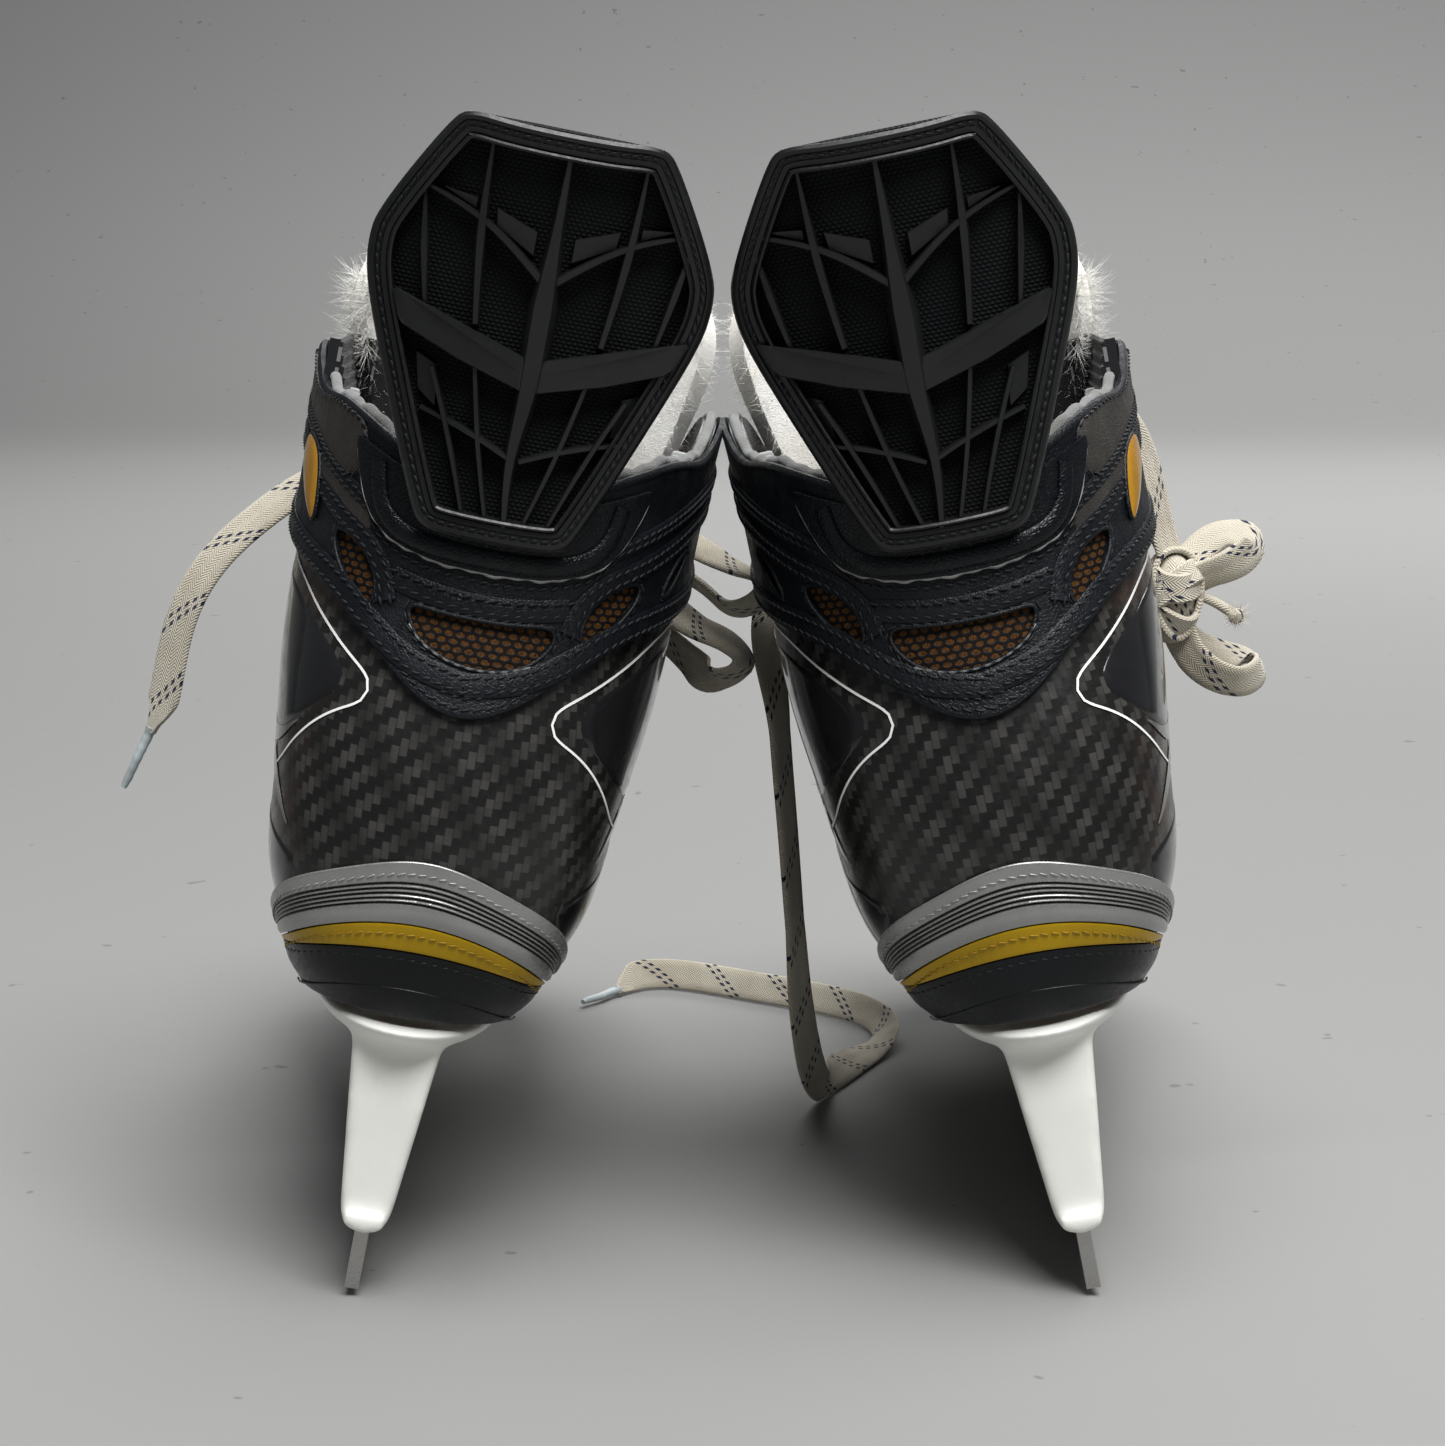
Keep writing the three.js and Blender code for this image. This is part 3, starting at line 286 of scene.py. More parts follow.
def sweep(name, points, normals, section, widths=None, heights=None, closed=False):
    # A section of (side, up) points carried along a path. UVs are the distance along and the side, in mm.
    points, normals = np.asarray(points, float), unit(np.asarray(normals, float))
    count, size = len(points), len(section)
    if closed:
        tangents = np.roll(points, -1, 0) - np.roll(points, 1, 0)
    else:
        tangents = np.gradient(points, axis=0)
    tangents = unit(tangents)
    side = unit(np.cross(normals, tangents))
    up = np.cross(tangents, side)
    wide = np.ones(count) if widths is None else np.asarray(widths, float)
    high = np.ones(count) if heights is None else np.asarray(heights, float)
    profile = np.array(section, float)
    rings = (
        points[:, None]
        + side[:, None] * (profile[:, 0][None, :, None] * wide[:, None, None])
        + up[:, None] * (profile[:, 1][None, :, None] * high[:, None, None])
    )
    steps = np.concatenate([[0], np.cumsum(np.linalg.norm(np.diff(points, axis=0), axis=1))])
    uv = np.stack([np.repeat(steps, size), np.tile(profile[:, 0], count)], 1)
    faces = []
    for i in range(count if closed else count - 1):
        j = (i + 1) % count
        for k in range(size):
            n = (k + 1) % size
            faces.append((i * size + k, i * size + n, j * size + n, j * size + k))
    if not closed:
        faces += [tuple(range(size))[::-1], tuple((count - 1) * size + k for k in range(size))]
    obj = newMesh(name, rings.reshape(-1, 3), faces, uv)
    recalculate(obj)
    return smooth(obj, 50)


def recalculate(obj):
    pick(obj)
    bpy.ops.object.mode_set(mode="EDIT")
    bpy.ops.mesh.select_all(action="SELECT")
    bpy.ops.mesh.normals_make_consistent(inside=False)
    bpy.ops.object.mode_set(mode="OBJECT")


def joined(name, objects):
    pick(objects[0])
    for obj in objects:
        obj.select_set(True)
    if len(objects) > 1:
        bpy.ops.object.join()
    objects[0].name = name
    return objects[0]


def chaikin(points, rounds=3, closed=True):
    points = np.asarray(points, float)
    for _ in range(rounds):
        following = np.roll(points, -1, 0) if closed else points[1:]
        start = points if closed else points[:-1]
        cut = np.stack(
            [start * 0.75 + following * 0.25, start * 0.25 + following * 0.75], 1,
        ).reshape(-1, points.shape[1])
        points = cut if closed else np.vstack([points[:1], cut, points[-1:]])
    return points


def resample(points, count, closed=False):
    points = np.asarray(points, float)
    if closed:
        points = np.vstack([points, points[:1]])
    steps = np.concatenate([[0], np.cumsum(np.linalg.norm(np.diff(points, axis=0), axis=1))])
    marks = np.linspace(0, steps[-1], count + 1)[:-1] if closed else np.linspace(0, steps[-1], count)
    return np.stack([np.interp(marks, steps, points[:, k]) for k in range(points.shape[1])], 1)


def smoothLine(points, count):
    points = np.asarray(points, float)
    steps = np.concatenate([[0], np.cumsum(np.linalg.norm(np.diff(points, axis=0), axis=1))])
    return resample(spline(steps, points, np.linspace(0, steps[-1], 12 * len(points))), count)


def skinLine(places, count, out, closed=False):
    # A line on the boot through (turn, height) places: its points and the skin's normals there.
    places = np.asarray(places, float) * turnScale
    line = resample(chaikin(places, 3, closed), count, closed) / turnScale
    t = line[:, 0]
    v = levelOf(t, line[:, 1])
    return onBoot(t, v, out), skinNormal(t, v)


def smoothOutline(outline, count, rounds=2):
    # A closed outline of (turn, height) places with its corners rounded.
    return resample(chaikin(np.array(outline) * turnScale, rounds), count, True) / turnScale


def edgeLine(edge, span, count, out, rise=0.0):
    # A line along a seam function, `rise` millimetres above it.
    t = np.linspace(span[0], span[1], count)
    v = levelOf(t, lastPoint(t, edge(t))[:, 2] + rise)
    return onBoot(t, v, out), skinNormal(t, v)


def stitches(name, lines, pitch=2.5, length=2.0, radius=0.24, turn=14, closed=False):
    # Short twisted stitches along lines of points and normals, all in one piece.
    ring = [(math.cos(math.pi * k / 3), math.sin(math.pi * k / 3)) for k in range(6)]
    shape = np.array(
        [
            (a, r * c, r * s)
            for a, r in ((-0.5, 0.25), (-0.32, 0.9), (0, 1), (0.32, 0.9), (0.5, 0.25)) for c, s in ring
        ]
    )
    faces = [
        (6 * i + k, 6 * i + 6 + k, 6 * i + 6 + (k + 1) % 6, 6 * i + (k + 1) % 6)
        for i in range(4) for k in range(6)
    ]
    faces += [tuple(range(6)), tuple(24 + k for k in range(6))[::-1]]
    points, allFaces = [], []
    for path, normals in lines:
        line = np.hstack([path, normals])
        total = np.linalg.norm(np.diff(path, axis=0), axis=1).sum()
        marks = resample(line, max(2, int(total / pitch)), closed)
        tangents = unit(np.gradient(marks[:, :3], axis=0))
        for place, normal, along in zip(marks[:, :3], unit(marks[:, 3:]), tangents):
            angle = math.radians(turn + rng.uniform(-5, 5))
            side = np.cross(normal, along)
            direction = along * math.cos(angle) + side * math.sin(angle)
            other = np.cross(normal, direction)
            size = rng.uniform(0.9, 1.06)
            stitch = (
                place
                + shape[:, :1] * direction * length * size
                + shape[:, 1:2] * other * radius
                + shape[:, 2:] * normal * radius
            )
            allFaces += [tuple(len(points) + index for index in face) for face in faces]
            points += list(stitch)
    obj = newMesh(name, points, allFaces)
    recalculate(obj)
    return smooth(obj, 80)


def ringPatch(name, outline, rings):
    # A filled outline of (turn, height) places on the skin, in rings of (share of its size, distance out).
    outline = np.asarray(outline, float)
    middle = outline.mean(0)
    points, uv, count = [], [], len(outline)
    for share, out in rings:
        place = middle + (outline - middle) * share
        t = place[:, 0]
        points += list(onBoot(t, levelOf(t, place[:, 1]), out))
        uv += list(np.stack([around(t), place[:, 1]], 1))
    faces = []
    for i in range(len(rings) - 1):
        for k in range(count):
            n = (k + 1) % count
            faces.append((i * count + k, i * count + n, (i + 1) * count + n, (i + 1) * count + k))
    faces += [tuple(range(count))[::-1], tuple((len(rings) - 1) * count + k for k in range(count))]
    obj = newMesh(name, points, faces, uv)
    recalculate(obj)
    return smooth(obj, 50)


def pair(obj, name, material, part=None, replaced=()):
    # The left piece and its mirror image, each with its own mesh, on the skate or on a part that moves.
    made = []
    for side, place in places.items():
        one = obj.copy()
        one.data = obj.data.copy()
        one.name = f"{side}_{name}"
        if one.name.split(".")[0] in frame["nodes"]:
            one.name = f"{side}_{name}_detail"
        bpy.context.scene.collection.objects.link(one)
        one.data.transform(place)
        if side == "right":
            one.data.flip_normals()
        one.data.materials.clear()
        one.data.materials.append(material[side] if isinstance(material, dict) else material)
        if part != "blend":
            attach(one, f"{side}_{part}" if part else "skates")
        if replaced:
            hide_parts(*[f"{side}_{node}" for node in replaced])
        made.append(one)
    bpy.data.objects.remove(obj)
    return made


def newMaterial(name, settings):
    material = bpy.data.materials.new(name)
    material.use_nodes = True
    shader = material.node_tree.nodes["Principled BSDF"]
    for socket, value in settings.items():
        shader.inputs[socket].default_value = (*value, 1) if isinstance(value, tuple) else value
    return material, shader


def addNode(material, kind, settings=None, **inputs):
    node = material.node_tree.nodes.new("ShaderNode" + kind)
    for key, value in (settings or {}).items():
        setattr(node, key, value)
    for key, value in inputs.items():
        socket = node.inputs[int(key[1:])] if key[1:].isdigit() else node.inputs[key.replace("_", " ")]
        if isinstance(value, bpy.types.NodeSocket):
            material.node_tree.links.new(value, socket)
        else:
            socket.default_value = value
    return node


def calc(material, operation, first, second=0.0, third=0.0):
    return addNode(material, "Math", {"operation": operation}, i0=first, i1=second, i2=third).outputs[0]


def blendColour(material, share, first, second):
    # Colours are three numbers or sockets.
    node = addNode(material, "Mix", {"data_type": "RGBA"})
    for socket, value in ((node.inputs[0], share), (node.inputs[6], first), (node.inputs[7], second)):
        if isinstance(value, bpy.types.NodeSocket):
            material.node_tree.links.new(value, socket)
        else:
            socket.default_value = value if isinstance(value, float) else (*value, 1)
    return node.outputs[2]


def ramp(material, value, low, high, start=0.0, end=1.0):
    node = addNode(
        material, "MapRange", {"interpolation_type": "SMOOTHSTEP"}, i0=value, i1=low, i2=high, i3=start,
        i4=end,
    )
    return node.outputs[0]


def objectPlace(material, scale=1000.0):
    place = addNode(material, "TexCoord").outputs["Object"]
    return addNode(material, "VectorMath", {"operation": "SCALE"}, i0=place, Scale=scale).outputs[0]


def surfacePlace(material):
    uv = addNode(material, "UVMap", {"uv_map": "mm"}).outputs[0]
    parts = addNode(material, "SeparateXYZ", None, i0=uv)
    return parts.outputs[0], parts.outputs[1], uv


def noise(material, place, scale, detail=3.0, rough=0.5):
    return addNode(
        material, "TexNoise", None, Vector=place, Scale=scale, Detail=detail, Roughness=rough,
    ).outputs["Fac"]


def bump(material, shader, height, strength, distance=0.0003):
    node = addNode(material, "Bump", None, Strength=strength, Distance=distance, Height=height)
    material.node_tree.links.new(node.outputs[0], shader.inputs["Normal"])


def drive(material, shader, socket, value):
    material.node_tree.links.new(value, shader.inputs[socket])


def carbonPrint(name, hand):
    # A printed 2/2 twill under a glossy coat. Its tows are dark grey, brown towards the outer side, and
    # brighter in diagonal bands of painted reflection.
    look = {
        "tow": 1.75, "light": (0.046, 0.0445, 0.041), "dark": (0.009, 0.0088, 0.0085),
        "brown": (0.06, 0.034, 0.022),
    }
    material, shader = newMaterial(
        name, {"Roughness": 0.4, "Coat Weight": 0.22, "Coat Roughness": 0.2, "Specular IOR Level": 0.3}
    )
    u, v, uv = surfacePlace(material)
    column, row = calc(material, "DIVIDE", u, -hand * look["tow"]), calc(material, "DIVIDE", v, look["tow"])
    cells = calc(material, "ADD", calc(material, "FLOOR", column), calc(material, "FLOOR", row))
    warp = calc(material, "LESS_THAN", calc(material, "FLOORED_MODULO", cells, 4.0), 2.0)
    acrossWarp = calc(material, "PINGPONG", column, 0.5)
    acrossWeft = calc(material, "PINGPONG", row, 0.5)
    spread = addNode(material, "Mix", None, i0=warp, i2=acrossWeft, i3=acrossWarp).outputs[0]
    rounded = ramp(material, spread, 0.0, 0.16, 0.4, 1.0)
    # painted reflection: a sine along the diagonal brightens the warp tows in broad bands
    diagonal = calc(
        material, "ADD", calc(material, "MULTIPLY", u, -0.085 * hand),
        calc(material, "MULTIPLY", v, -0.055),
    )
    paintedReflectionBands = calc(
        material, "ADD",
        calc(material, "MULTIPLY", calc(material, "SINE", calc(material, "MULTIPLY", diagonal, 5.2)), 0.35),
        0.62,
    )
    cellNoise = addNode(material, "TexWhiteNoise", {"noise_dimensions": "2D"})
    snapped = addNode(material, "VectorMath", {"operation": "SNAP"}, i0=uv, i1=(look["tow"],) * 3).outputs[0]
    material.node_tree.links.new(snapped, cellNoise.inputs["Vector"])
    uneven = ramp(material, cellNoise.outputs["Value"], 0.0, 1.0, 0.75, 1.2)
    strength = calc(
        material, "MULTIPLY", calc(material, "MULTIPLY", warp, paintedReflectionBands),
        calc(material, "MULTIPLY", rounded, uneven),
    )
    weave = blendColour(material, strength, look["dark"], look["light"])
    mottle = noise(material, uv, 0.12, 2.0)
    outer = calc(material, "MULTIPLY", ramp(material, u, -26.0, -44.0), ramp(material, mottle, 0.35, 0.6))
    tinted = blendColour(material, calc(material, "MULTIPLY", outer, 0.5), weave, look["brown"])
    # painted shade: the shell's colour darkens towards the bottom
    paintedShade = ramp(material, v, 66.0, 108.0, 0.8, 1.0)
    final = blendColour(material, paintedShade, (0.012, 0.012, 0.013), tinted)
    drive(material, shader, "Base Color", final)
    scuff = noise(material, objectPlace(material), 0.35, 5.0, 0.65)
    drive(material, shader, "Roughness", ramp(material, scuff, 0.35, 0.75, 0.26, 0.46))
    bump(material, shader, noise(material, objectPlace(material), 0.9, 2.0), 0.06, 0.0004)
    return material


def leather(name, colour, shine=0.42):
    material, shader = newMaterial(
        name, {"Base Color": colour, "Roughness": shine, "Specular IOR Level": 0.25},
    )
    place = objectPlace(material)
    pebbles = addNode(
        material, "TexVoronoi", {"feature": "DISTANCE_TO_EDGE"}, Vector=place, Scale=1.15,
    ).outputs["Distance"]
    creases = noise(material, place, 0.28, 6.0, 0.6)
    height = calc(
        material, "ADD", ramp(material, pebbles, 0.0, 0.22), calc(material, "MULTIPLY", creases, 1.4),
    )
    bump(material, shader, height, 0.35, 0.0002)
    worn = ramp(material, noise(material, place, 0.06, 4.0, 0.6), 0.45, 0.75)
    lighter = tuple(min(1.0, c * 1.8 + 0.003) for c in colour)
    drive(
        material, shader, "Base Color",
        blendColour(material, calc(material, "MULTIPLY", worn, 0.6), colour, lighter),
    )
    drive(material, shader, "Roughness", ramp(material, creases, 0.3, 0.7, shine - 0.08, shine + 0.16))
    return material


def plain(name, colour, rough, metal=0.0, grain=0.5, depth=0.1, uneven=0.25, sheen=0.0, coat=0.0, spec=0.25):
    # A moulded, painted or sewn finish with a fine uneven surface.
    material, shader = newMaterial(
        name,
        {
            "Base Color": colour, "Roughness": rough, "Metallic": metal, "Sheen Weight": sheen,
            "Coat Weight": coat,
            "Specular IOR Level": spec,
        },
    )
    place = objectPlace(material)
    fine, broad = noise(material, place, grain, 4.0, 0.6), noise(material, place, 0.05, 4.0, 0.6)
    bump(material, shader, fine, depth, 0.0003)
    darker = tuple(c * (1 - uneven) for c in colour)
    drive(
        material, shader, "Base Color",
        blendColour(material, ramp(material, broad, 0.35, 0.65), darker, colour),
    )
    drive(
        material, shader, "Roughness",
        ramp(material, fine, 0.3, 0.7, max(0.05, rough - 0.08), min(1, rough + 0.1)),
    )
    return material


def whitePlastic():
    # Nylon with small cuts and grey rubbing marks.
    material, shader = newMaterial(
        "white_nylon", {"Roughness": 0.38, "Specular IOR Level": 0.45, "Subsurface Weight": 0.04},
    )
    place = objectPlace(material)
    stretched = addNode(material, "Mapping", None, Vector=place, Scale=(0.9, 0.25, 0.12)).outputs[0]
    scratches = ramp(material, noise(material, stretched, 1.0, 8.0, 0.75), 0.6, 0.72)
    patches = ramp(material, noise(material, place, 0.035, 4.0, 0.6), 0.5, 0.75)
    dirt = calc(
        material, "MULTIPLY", scratches,
        calc(material, "ADD", calc(material, "MULTIPLY", patches, 0.6), 0.12),
    )
    clean = blendColour(material, patches, (0.86, 0.855, 0.8), (0.78, 0.77, 0.7))
    drive(material, shader, "Base Color", blendColour(material, dirt, clean, (0.42, 0.4, 0.36)))
    bump(
        material, shader, calc(material, "SUBTRACT", noise(material, place, 0.3, 4.0), scratches), 0.25,
        0.0002,
    )
    return material


def steel():
    material, shader = newMaterial("ground_steel", {"Metallic": 1.0, "Roughness": 0.34})
    place = objectPlace(material)
    drawn = addNode(material, "Mapping", None, Vector=place, Scale=(1.0, 0.04, 2.2)).outputs[0]
    lines = noise(material, drawn, 1.6, 6.0, 0.7)
    stain = ramp(material, noise(material, place, 0.09, 5.0, 0.7), 0.5, 0.7)
    bright = blendColour(material, lines, (0.3, 0.29, 0.28), (0.56, 0.55, 0.53))
    drive(
        material, shader, "Base Color",
        blendColour(material, calc(material, "MULTIPLY", stain, 0.6), bright, (0.2, 0.16, 0.12)),
    )
    drive(material, shader, "Roughness", ramp(material, lines, 0.3, 0.7, 0.24, 0.48))
    bump(material, shader, lines, 0.15, 0.0001)
    return material


def knit(name, colour, yarn, size=0.9, depth=0.8, sheen=0.15):
    # A small knit: yarn bumps in staggered rows.
    material, shader = newMaterial(
        name, {"Roughness": 0.85, "Sheen Weight": sheen, "Specular IOR Level": 0.2},
    )
    u, v, _ = surfacePlace(material)
    row = calc(material, "DIVIDE", v, size * 0.72)
    shift = calc(
        material, "MULTIPLY", calc(material, "FLOORED_MODULO", calc(material, "FLOOR", row), 2.0), 0.5,
    )
    column = calc(material, "ADD", calc(material, "DIVIDE", u, size), shift)
    a = calc(material, "SUBTRACT", calc(material, "FRACT", column), 0.5)
    b = calc(material, "SUBTRACT", calc(material, "FRACT", row), 0.5)
    reach = calc(
        material, "SQRT",
        calc(material, "ADD", calc(material, "MULTIPLY", a, a), calc(material, "MULTIPLY", b, b)),
    )
    loop = ramp(material, reach, 0.5, 0.12)
    drive(material, shader, "Base Color", blendColour(material, loop, colour, yarn))
    bump(material, shader, loop, depth, 0.0004)
    return material


def windowMesh():
    # Black net over gold-brown cloth: the cloth shows in staggered oval cells.
    material, shader = newMaterial("gold_net", {"Roughness": 0.7, "Specular IOR Level": 0.15})
    u, v, uv = surfacePlace(material)
    wobble = noise(material, uv, 0.5, 2.0)
    row = calc(material, "ADD", calc(material, "DIVIDE", v, 1.5), calc(material, "MULTIPLY", wobble, 0.3))
    shift = calc(
        material, "MULTIPLY", calc(material, "FLOORED_MODULO", calc(material, "FLOOR", row), 2.0), 0.5,
    )
    column = calc(
        material, "ADD", calc(material, "ADD", calc(material, "DIVIDE", u, 2.7), shift),
        calc(material, "MULTIPLY", wobble, 0.2),
    )
    a = calc(material, "SUBTRACT", calc(material, "FRACT", column), 0.5)
    b = calc(material, "SUBTRACT", calc(material, "FRACT", row), 0.5)
    reach = calc(
        material, "SQRT",
        calc(material, "ADD", calc(material, "MULTIPLY", a, a), calc(material, "MULTIPLY", b, b)),
    )
    cell = ramp(material, reach, 0.46, 0.3)
    fibres = noise(
        material, addNode(material, "Mapping", None, Vector=uv, Scale=(2.5, 0.7, 1)).outputs[0], 1.6, 3.0,
        0.7,
    )
    cloth = blendColour(
        material, ramp(material, fibres, 0.35, 0.65), (0.012, 0.005, 0.003), (0.12, 0.05, 0.009),
    )
    drive(material, shader, "Base Color", blendColour(material, cell, (0.004, 0.004, 0.005), cloth))
    bump(material, shader, calc(material, "SUBTRACT", 1.0, cell), 0.5, 0.0005)
    return material


def felt(name, colour, soiled, depth=0.6):
    material, shader = newMaterial(name, {"Roughness": 0.95, "Sheen Weight": 0.35, "Specular IOR Level": 0.2})
    place = objectPlace(material)
    fibre = noise(
        material, addNode(material, "Mapping", None, Vector=place, Scale=(1, 1, 2.5)).outputs[0], 1.3, 8.0,
        0.75,
    )
    broad = noise(material, place, 0.07, 4.0, 0.6)
    drive(
        material, shader, "Base Color",
        blendColour(material, ramp(material, broad, 0.42, 0.8), colour, soiled),
    )
    bump(
        material, shader, calc(material, "ADD", fibre, calc(material, "MULTIPLY", broad, 2.0)), depth,
        0.0007,
    )
    return material


def cotton():
    # Flat woven lace: fine chevrons, and pairs of dotted tracers that cross it on the slant.
    look = {"every": 21.0, "gap": 2.7, "line": 1.25, "dash": 1.55, "share": 0.52, "slant": 1.3}
    material, shader = newMaterial(
        "cotton_lace", {"Roughness": 0.95, "Sheen Weight": 0.25, "Specular IOR Level": 0.2},
    )
    u, v, _ = surfacePlace(material)
    slanted = calc(material, "ADD", u, calc(material, "MULTIPLY", v, look["slant"]))
    stagger = calc(material, "FLOORED_MODULO", slanted, look["every"])
    first = calc(material, "LESS_THAN", stagger, look["line"])
    second = calc(
        material, "LESS_THAN",
        calc(material, "ABSOLUTE", calc(material, "SUBTRACT", stagger, look["gap"] + look["line"] / 2)),
        look["line"] / 2,
    )
    rows = calc(material, "DIVIDE", v, look["dash"])
    dashA = calc(material, "LESS_THAN", calc(material, "FRACT", rows), look["share"])
    dashB = calc(
        material, "LESS_THAN", calc(material, "FRACT", calc(material, "ADD", rows, 0.5)), look["share"],
    )
    tracer = calc(
        material, "MAXIMUM", calc(material, "MULTIPLY", first, dashA),
        calc(material, "MULTIPLY", second, dashB),
    )
    chevron = calc(
        material, "PINGPONG",
        calc(material, "ADD", calc(material, "PINGPONG", v, 1.6), calc(material, "MULTIPLY", u, 0.8)), 0.35,
    )
    weave = ramp(material, chevron, 0.0, 0.35)
    place = objectPlace(material)
    soil = ramp(material, noise(material, place, 0.05, 5.0, 0.65), 0.4, 0.75)
    base = blendColour(material, soil, (0.52, 0.475, 0.38), (0.35, 0.3, 0.22))
    yarn = blendColour(material, calc(material, "MULTIPLY", weave, 0.35), base, (0.68, 0.64, 0.55))
    drive(material, shader, "Base Color", blendColour(material, tracer, yarn, (0.012, 0.016, 0.05)))
    height = calc(
        material, "ADD", weave, calc(material, "MULTIPLY", noise(material, place, 1.4, 5.0, 0.7), 1.2),
    )
    bump(material, shader, height, 0.7, 0.0003)
    return material


print("materials")
carbon = {"left": carbonPrint("carbon_print", 1), "right": carbonPrint("carbon_print_right", -1)}
blackLeather = leather("black_leather", (0.0045, 0.0055, 0.0075))
brownLeather = leather("brown_leather", (0.03, 0.0275, 0.0245), 0.4)
smoothLeather = leather("smooth_leather", (0.0035, 0.0045, 0.006), 0.28)
silver = plain("silver_vinyl", (0.33, 0.33, 0.32), 0.3, 0.6, 0.8, 0.05, 0.14)
gold = plain("gold_vinyl", (0.45, 0.275, 0.002), 0.32, 0.0, 0.5, 0.05, 0.15)
outsoleRubber = plain("outsole_rubber", (0.0045, 0.0055, 0.007), 0.34, 0.0, 0.7, 0.15, 0.35)
guardRubber = plain("guard_rubber", (0.0115, 0.012, 0.012), 0.36, 0.0, 0.9, 0.15, 0.3, spec=0.35)
whiteNylon = whitePlastic()
groundSteel = steel()
boltSteel = plain("bolt_steel", (0.45, 0.44, 0.42), 0.3, 1.0, 0.6, 0.1, 0.3)
backingKnit = knit("backing_knit", (0.001, 0.0012, 0.0015), (0.007, 0.0085, 0.011), 1.15, 1.0, 0.0)
liningKnit = knit("lining_knit", (0.16, 0.165, 0.165), (0.34, 0.345, 0.34), 1.3, 0.5)
goldNet = windowMesh()
whiteFelt = felt("white_felt", (0.95, 0.935, 0.89), (0.86, 0.83, 0.74))
greyFelt = felt("grey_felt", (0.2, 0.205, 0.2), (0.12, 0.11, 0.095), 0.8)
laceCotton = cotton()
blackThread = plain("black_thread", (0.011, 0.012, 0.015), 0.5, 0.0, 2.0, 0.3, 0.3, sheen=0.05)
goldThread = plain("gold_thread", (0.33, 0.2, 0.015), 0.45, 0.0, 2.0, 0.3, 0.2)
greyThread = plain("grey_thread", (0.3, 0.3, 0.3), 0.4, 0.3, 2.0, 0.3, 0.2)
cutEdge = plain("cut_edge", (0.3, 0.3, 0.29), 0.6, 0.0, 1.5, 0.3, 0.3)
whitePrint = plain("white_print", (0.86, 0.86, 0.84), 0.3, 0.0, 0.5, 0.05, 0.05)
darkPrint = plain("dark_print", (0.012, 0.012, 0.013), 0.16, 0.0, 0.3, 0.03, 0.3, coat=0.5)
greyPrint = plain("grey_print", (0.12, 0.118, 0.112), 0.2, 0.0, 0.3, 0.03, 0.2, coat=0.5)
amberBadge = plain("amber_badge", (0.62, 0.3, 0.02), 0.2, 0.35, 0.6, 0.08, 0.2, coat=0.6)
labelCloth = knit("label_cloth", (0.006, 0.006, 0.007), (0.02, 0.021, 0.024), 0.5, 0.4)
aglet = plain("aglet", (0.42, 0.47, 0.48), 0.4, 0.0, 0.6, 0.2, 0.3)
foam = plain("footbed_foam", (0.2, 0.2, 0.2), 0.9, 0.0, 1.2, 0.4, 0.2)


def makeShell():
    look = {"thick": 3.2, "end": 0.985, "stripe": 0.52, "lift": 0.16}
    foot = lambda t: levelOf(t, lastPoint(t, np.zeros_like(t))[:, 2] + 4.65)
    shell = skinPatch(
        "boot_shell", (-look["end"], look["end"]), foot, level(1), 0, look["thick"], (300, 56), 0,
    )
    pair(shell, "boot_shell", carbon, replaced=["boot_shell"])
    # a white line runs down each side, round the point of a dark panel and on towards the sole
    strip = [
        (-look["stripe"] / 2, 0), (look["stripe"] / 2, 0), (look["stripe"] / 2, 0.1),
        (-look["stripe"] / 2, 0.1),
    ]
    lines, panels = [], []
    for side in (-1, 1):
        route = [
            (0.46, 154), (0.37, 149), (0.29, 146.5), (0.24, 144), (0.17, 139), (0.12, 134.5), (0.088, 131),
            (0.083, 128),
        ]
        route += [
            (0.088, 125.5), (0.115, 122.5), (0.14, 119), (0.168, 114.5), (0.21, 108), (0.27, 104),
            (0.4, 101),
            (0.6, 97),
        ]
        points, normals = skinLine([(side * t, z) for t, z in route], 160, look["lift"])
        lines.append(sweep("line", points, normals, strip))
        outline = [
            (0.108, 128), (0.135, 133.5), (0.2, 138.5), (0.28, 142), (0.37, 144), (0.45, 146), (0.45, 107),
            (0.3, 110), (0.22, 114.5), (0.16, 120),
        ]
        places = smoothOutline([(side * t, z) for t, z in outline], 120)
        rings = [(0.01, 0.18)] + [(0.1 * k, 0.18) for k in range(1, 10)] + [(0.985, 0.18), (1, 0.02)]
        panels.append(ringPatch("panel", places, rings))
        # a swoosh of plain black climbs from the heel band
        low = [(0.125, 90), (0.17, 93), (0.22, 94.5), (0.34, 96), (0.5, 95), (0.5, 70), (0.3, 68), (0.2, 76)]
        places = smoothOutline([(side * t, z) for t, z in low], 120)
        panels.append(ringPatch("swoosh", places, rings))
    pair(joined("shell_lines", lines), "shell_lines", whitePrint)
    pair(joined("shell_panels", panels), "shell_panels", darkPrint)
    greys = []
    for route in (
        [(-0.17, 118), (-0.22, 113), (-0.3, 111), (-0.4, 111)],
        [(-0.16, 97), (-0.21, 104), (-0.29, 109), (-0.4, 112)],
        [(0.2, 99), (0.26, 106), (0.36, 110)],
    ):
        points, normals = skinLine(route, 60, 0.2)
        thin = np.interp(np.linspace(0, 1, 60), [0, 0.3, 1], [0.2, 1.6, 3.0])
        greys.append(sweep("grey", points, normals, [(-1, 0), (1, 0), (1, 0.08), (-1, 0.08)], widths=thin))
    pair(joined("shell_greys", greys), "shell_swirls", greyPrint)


makeShell()
print("shell")


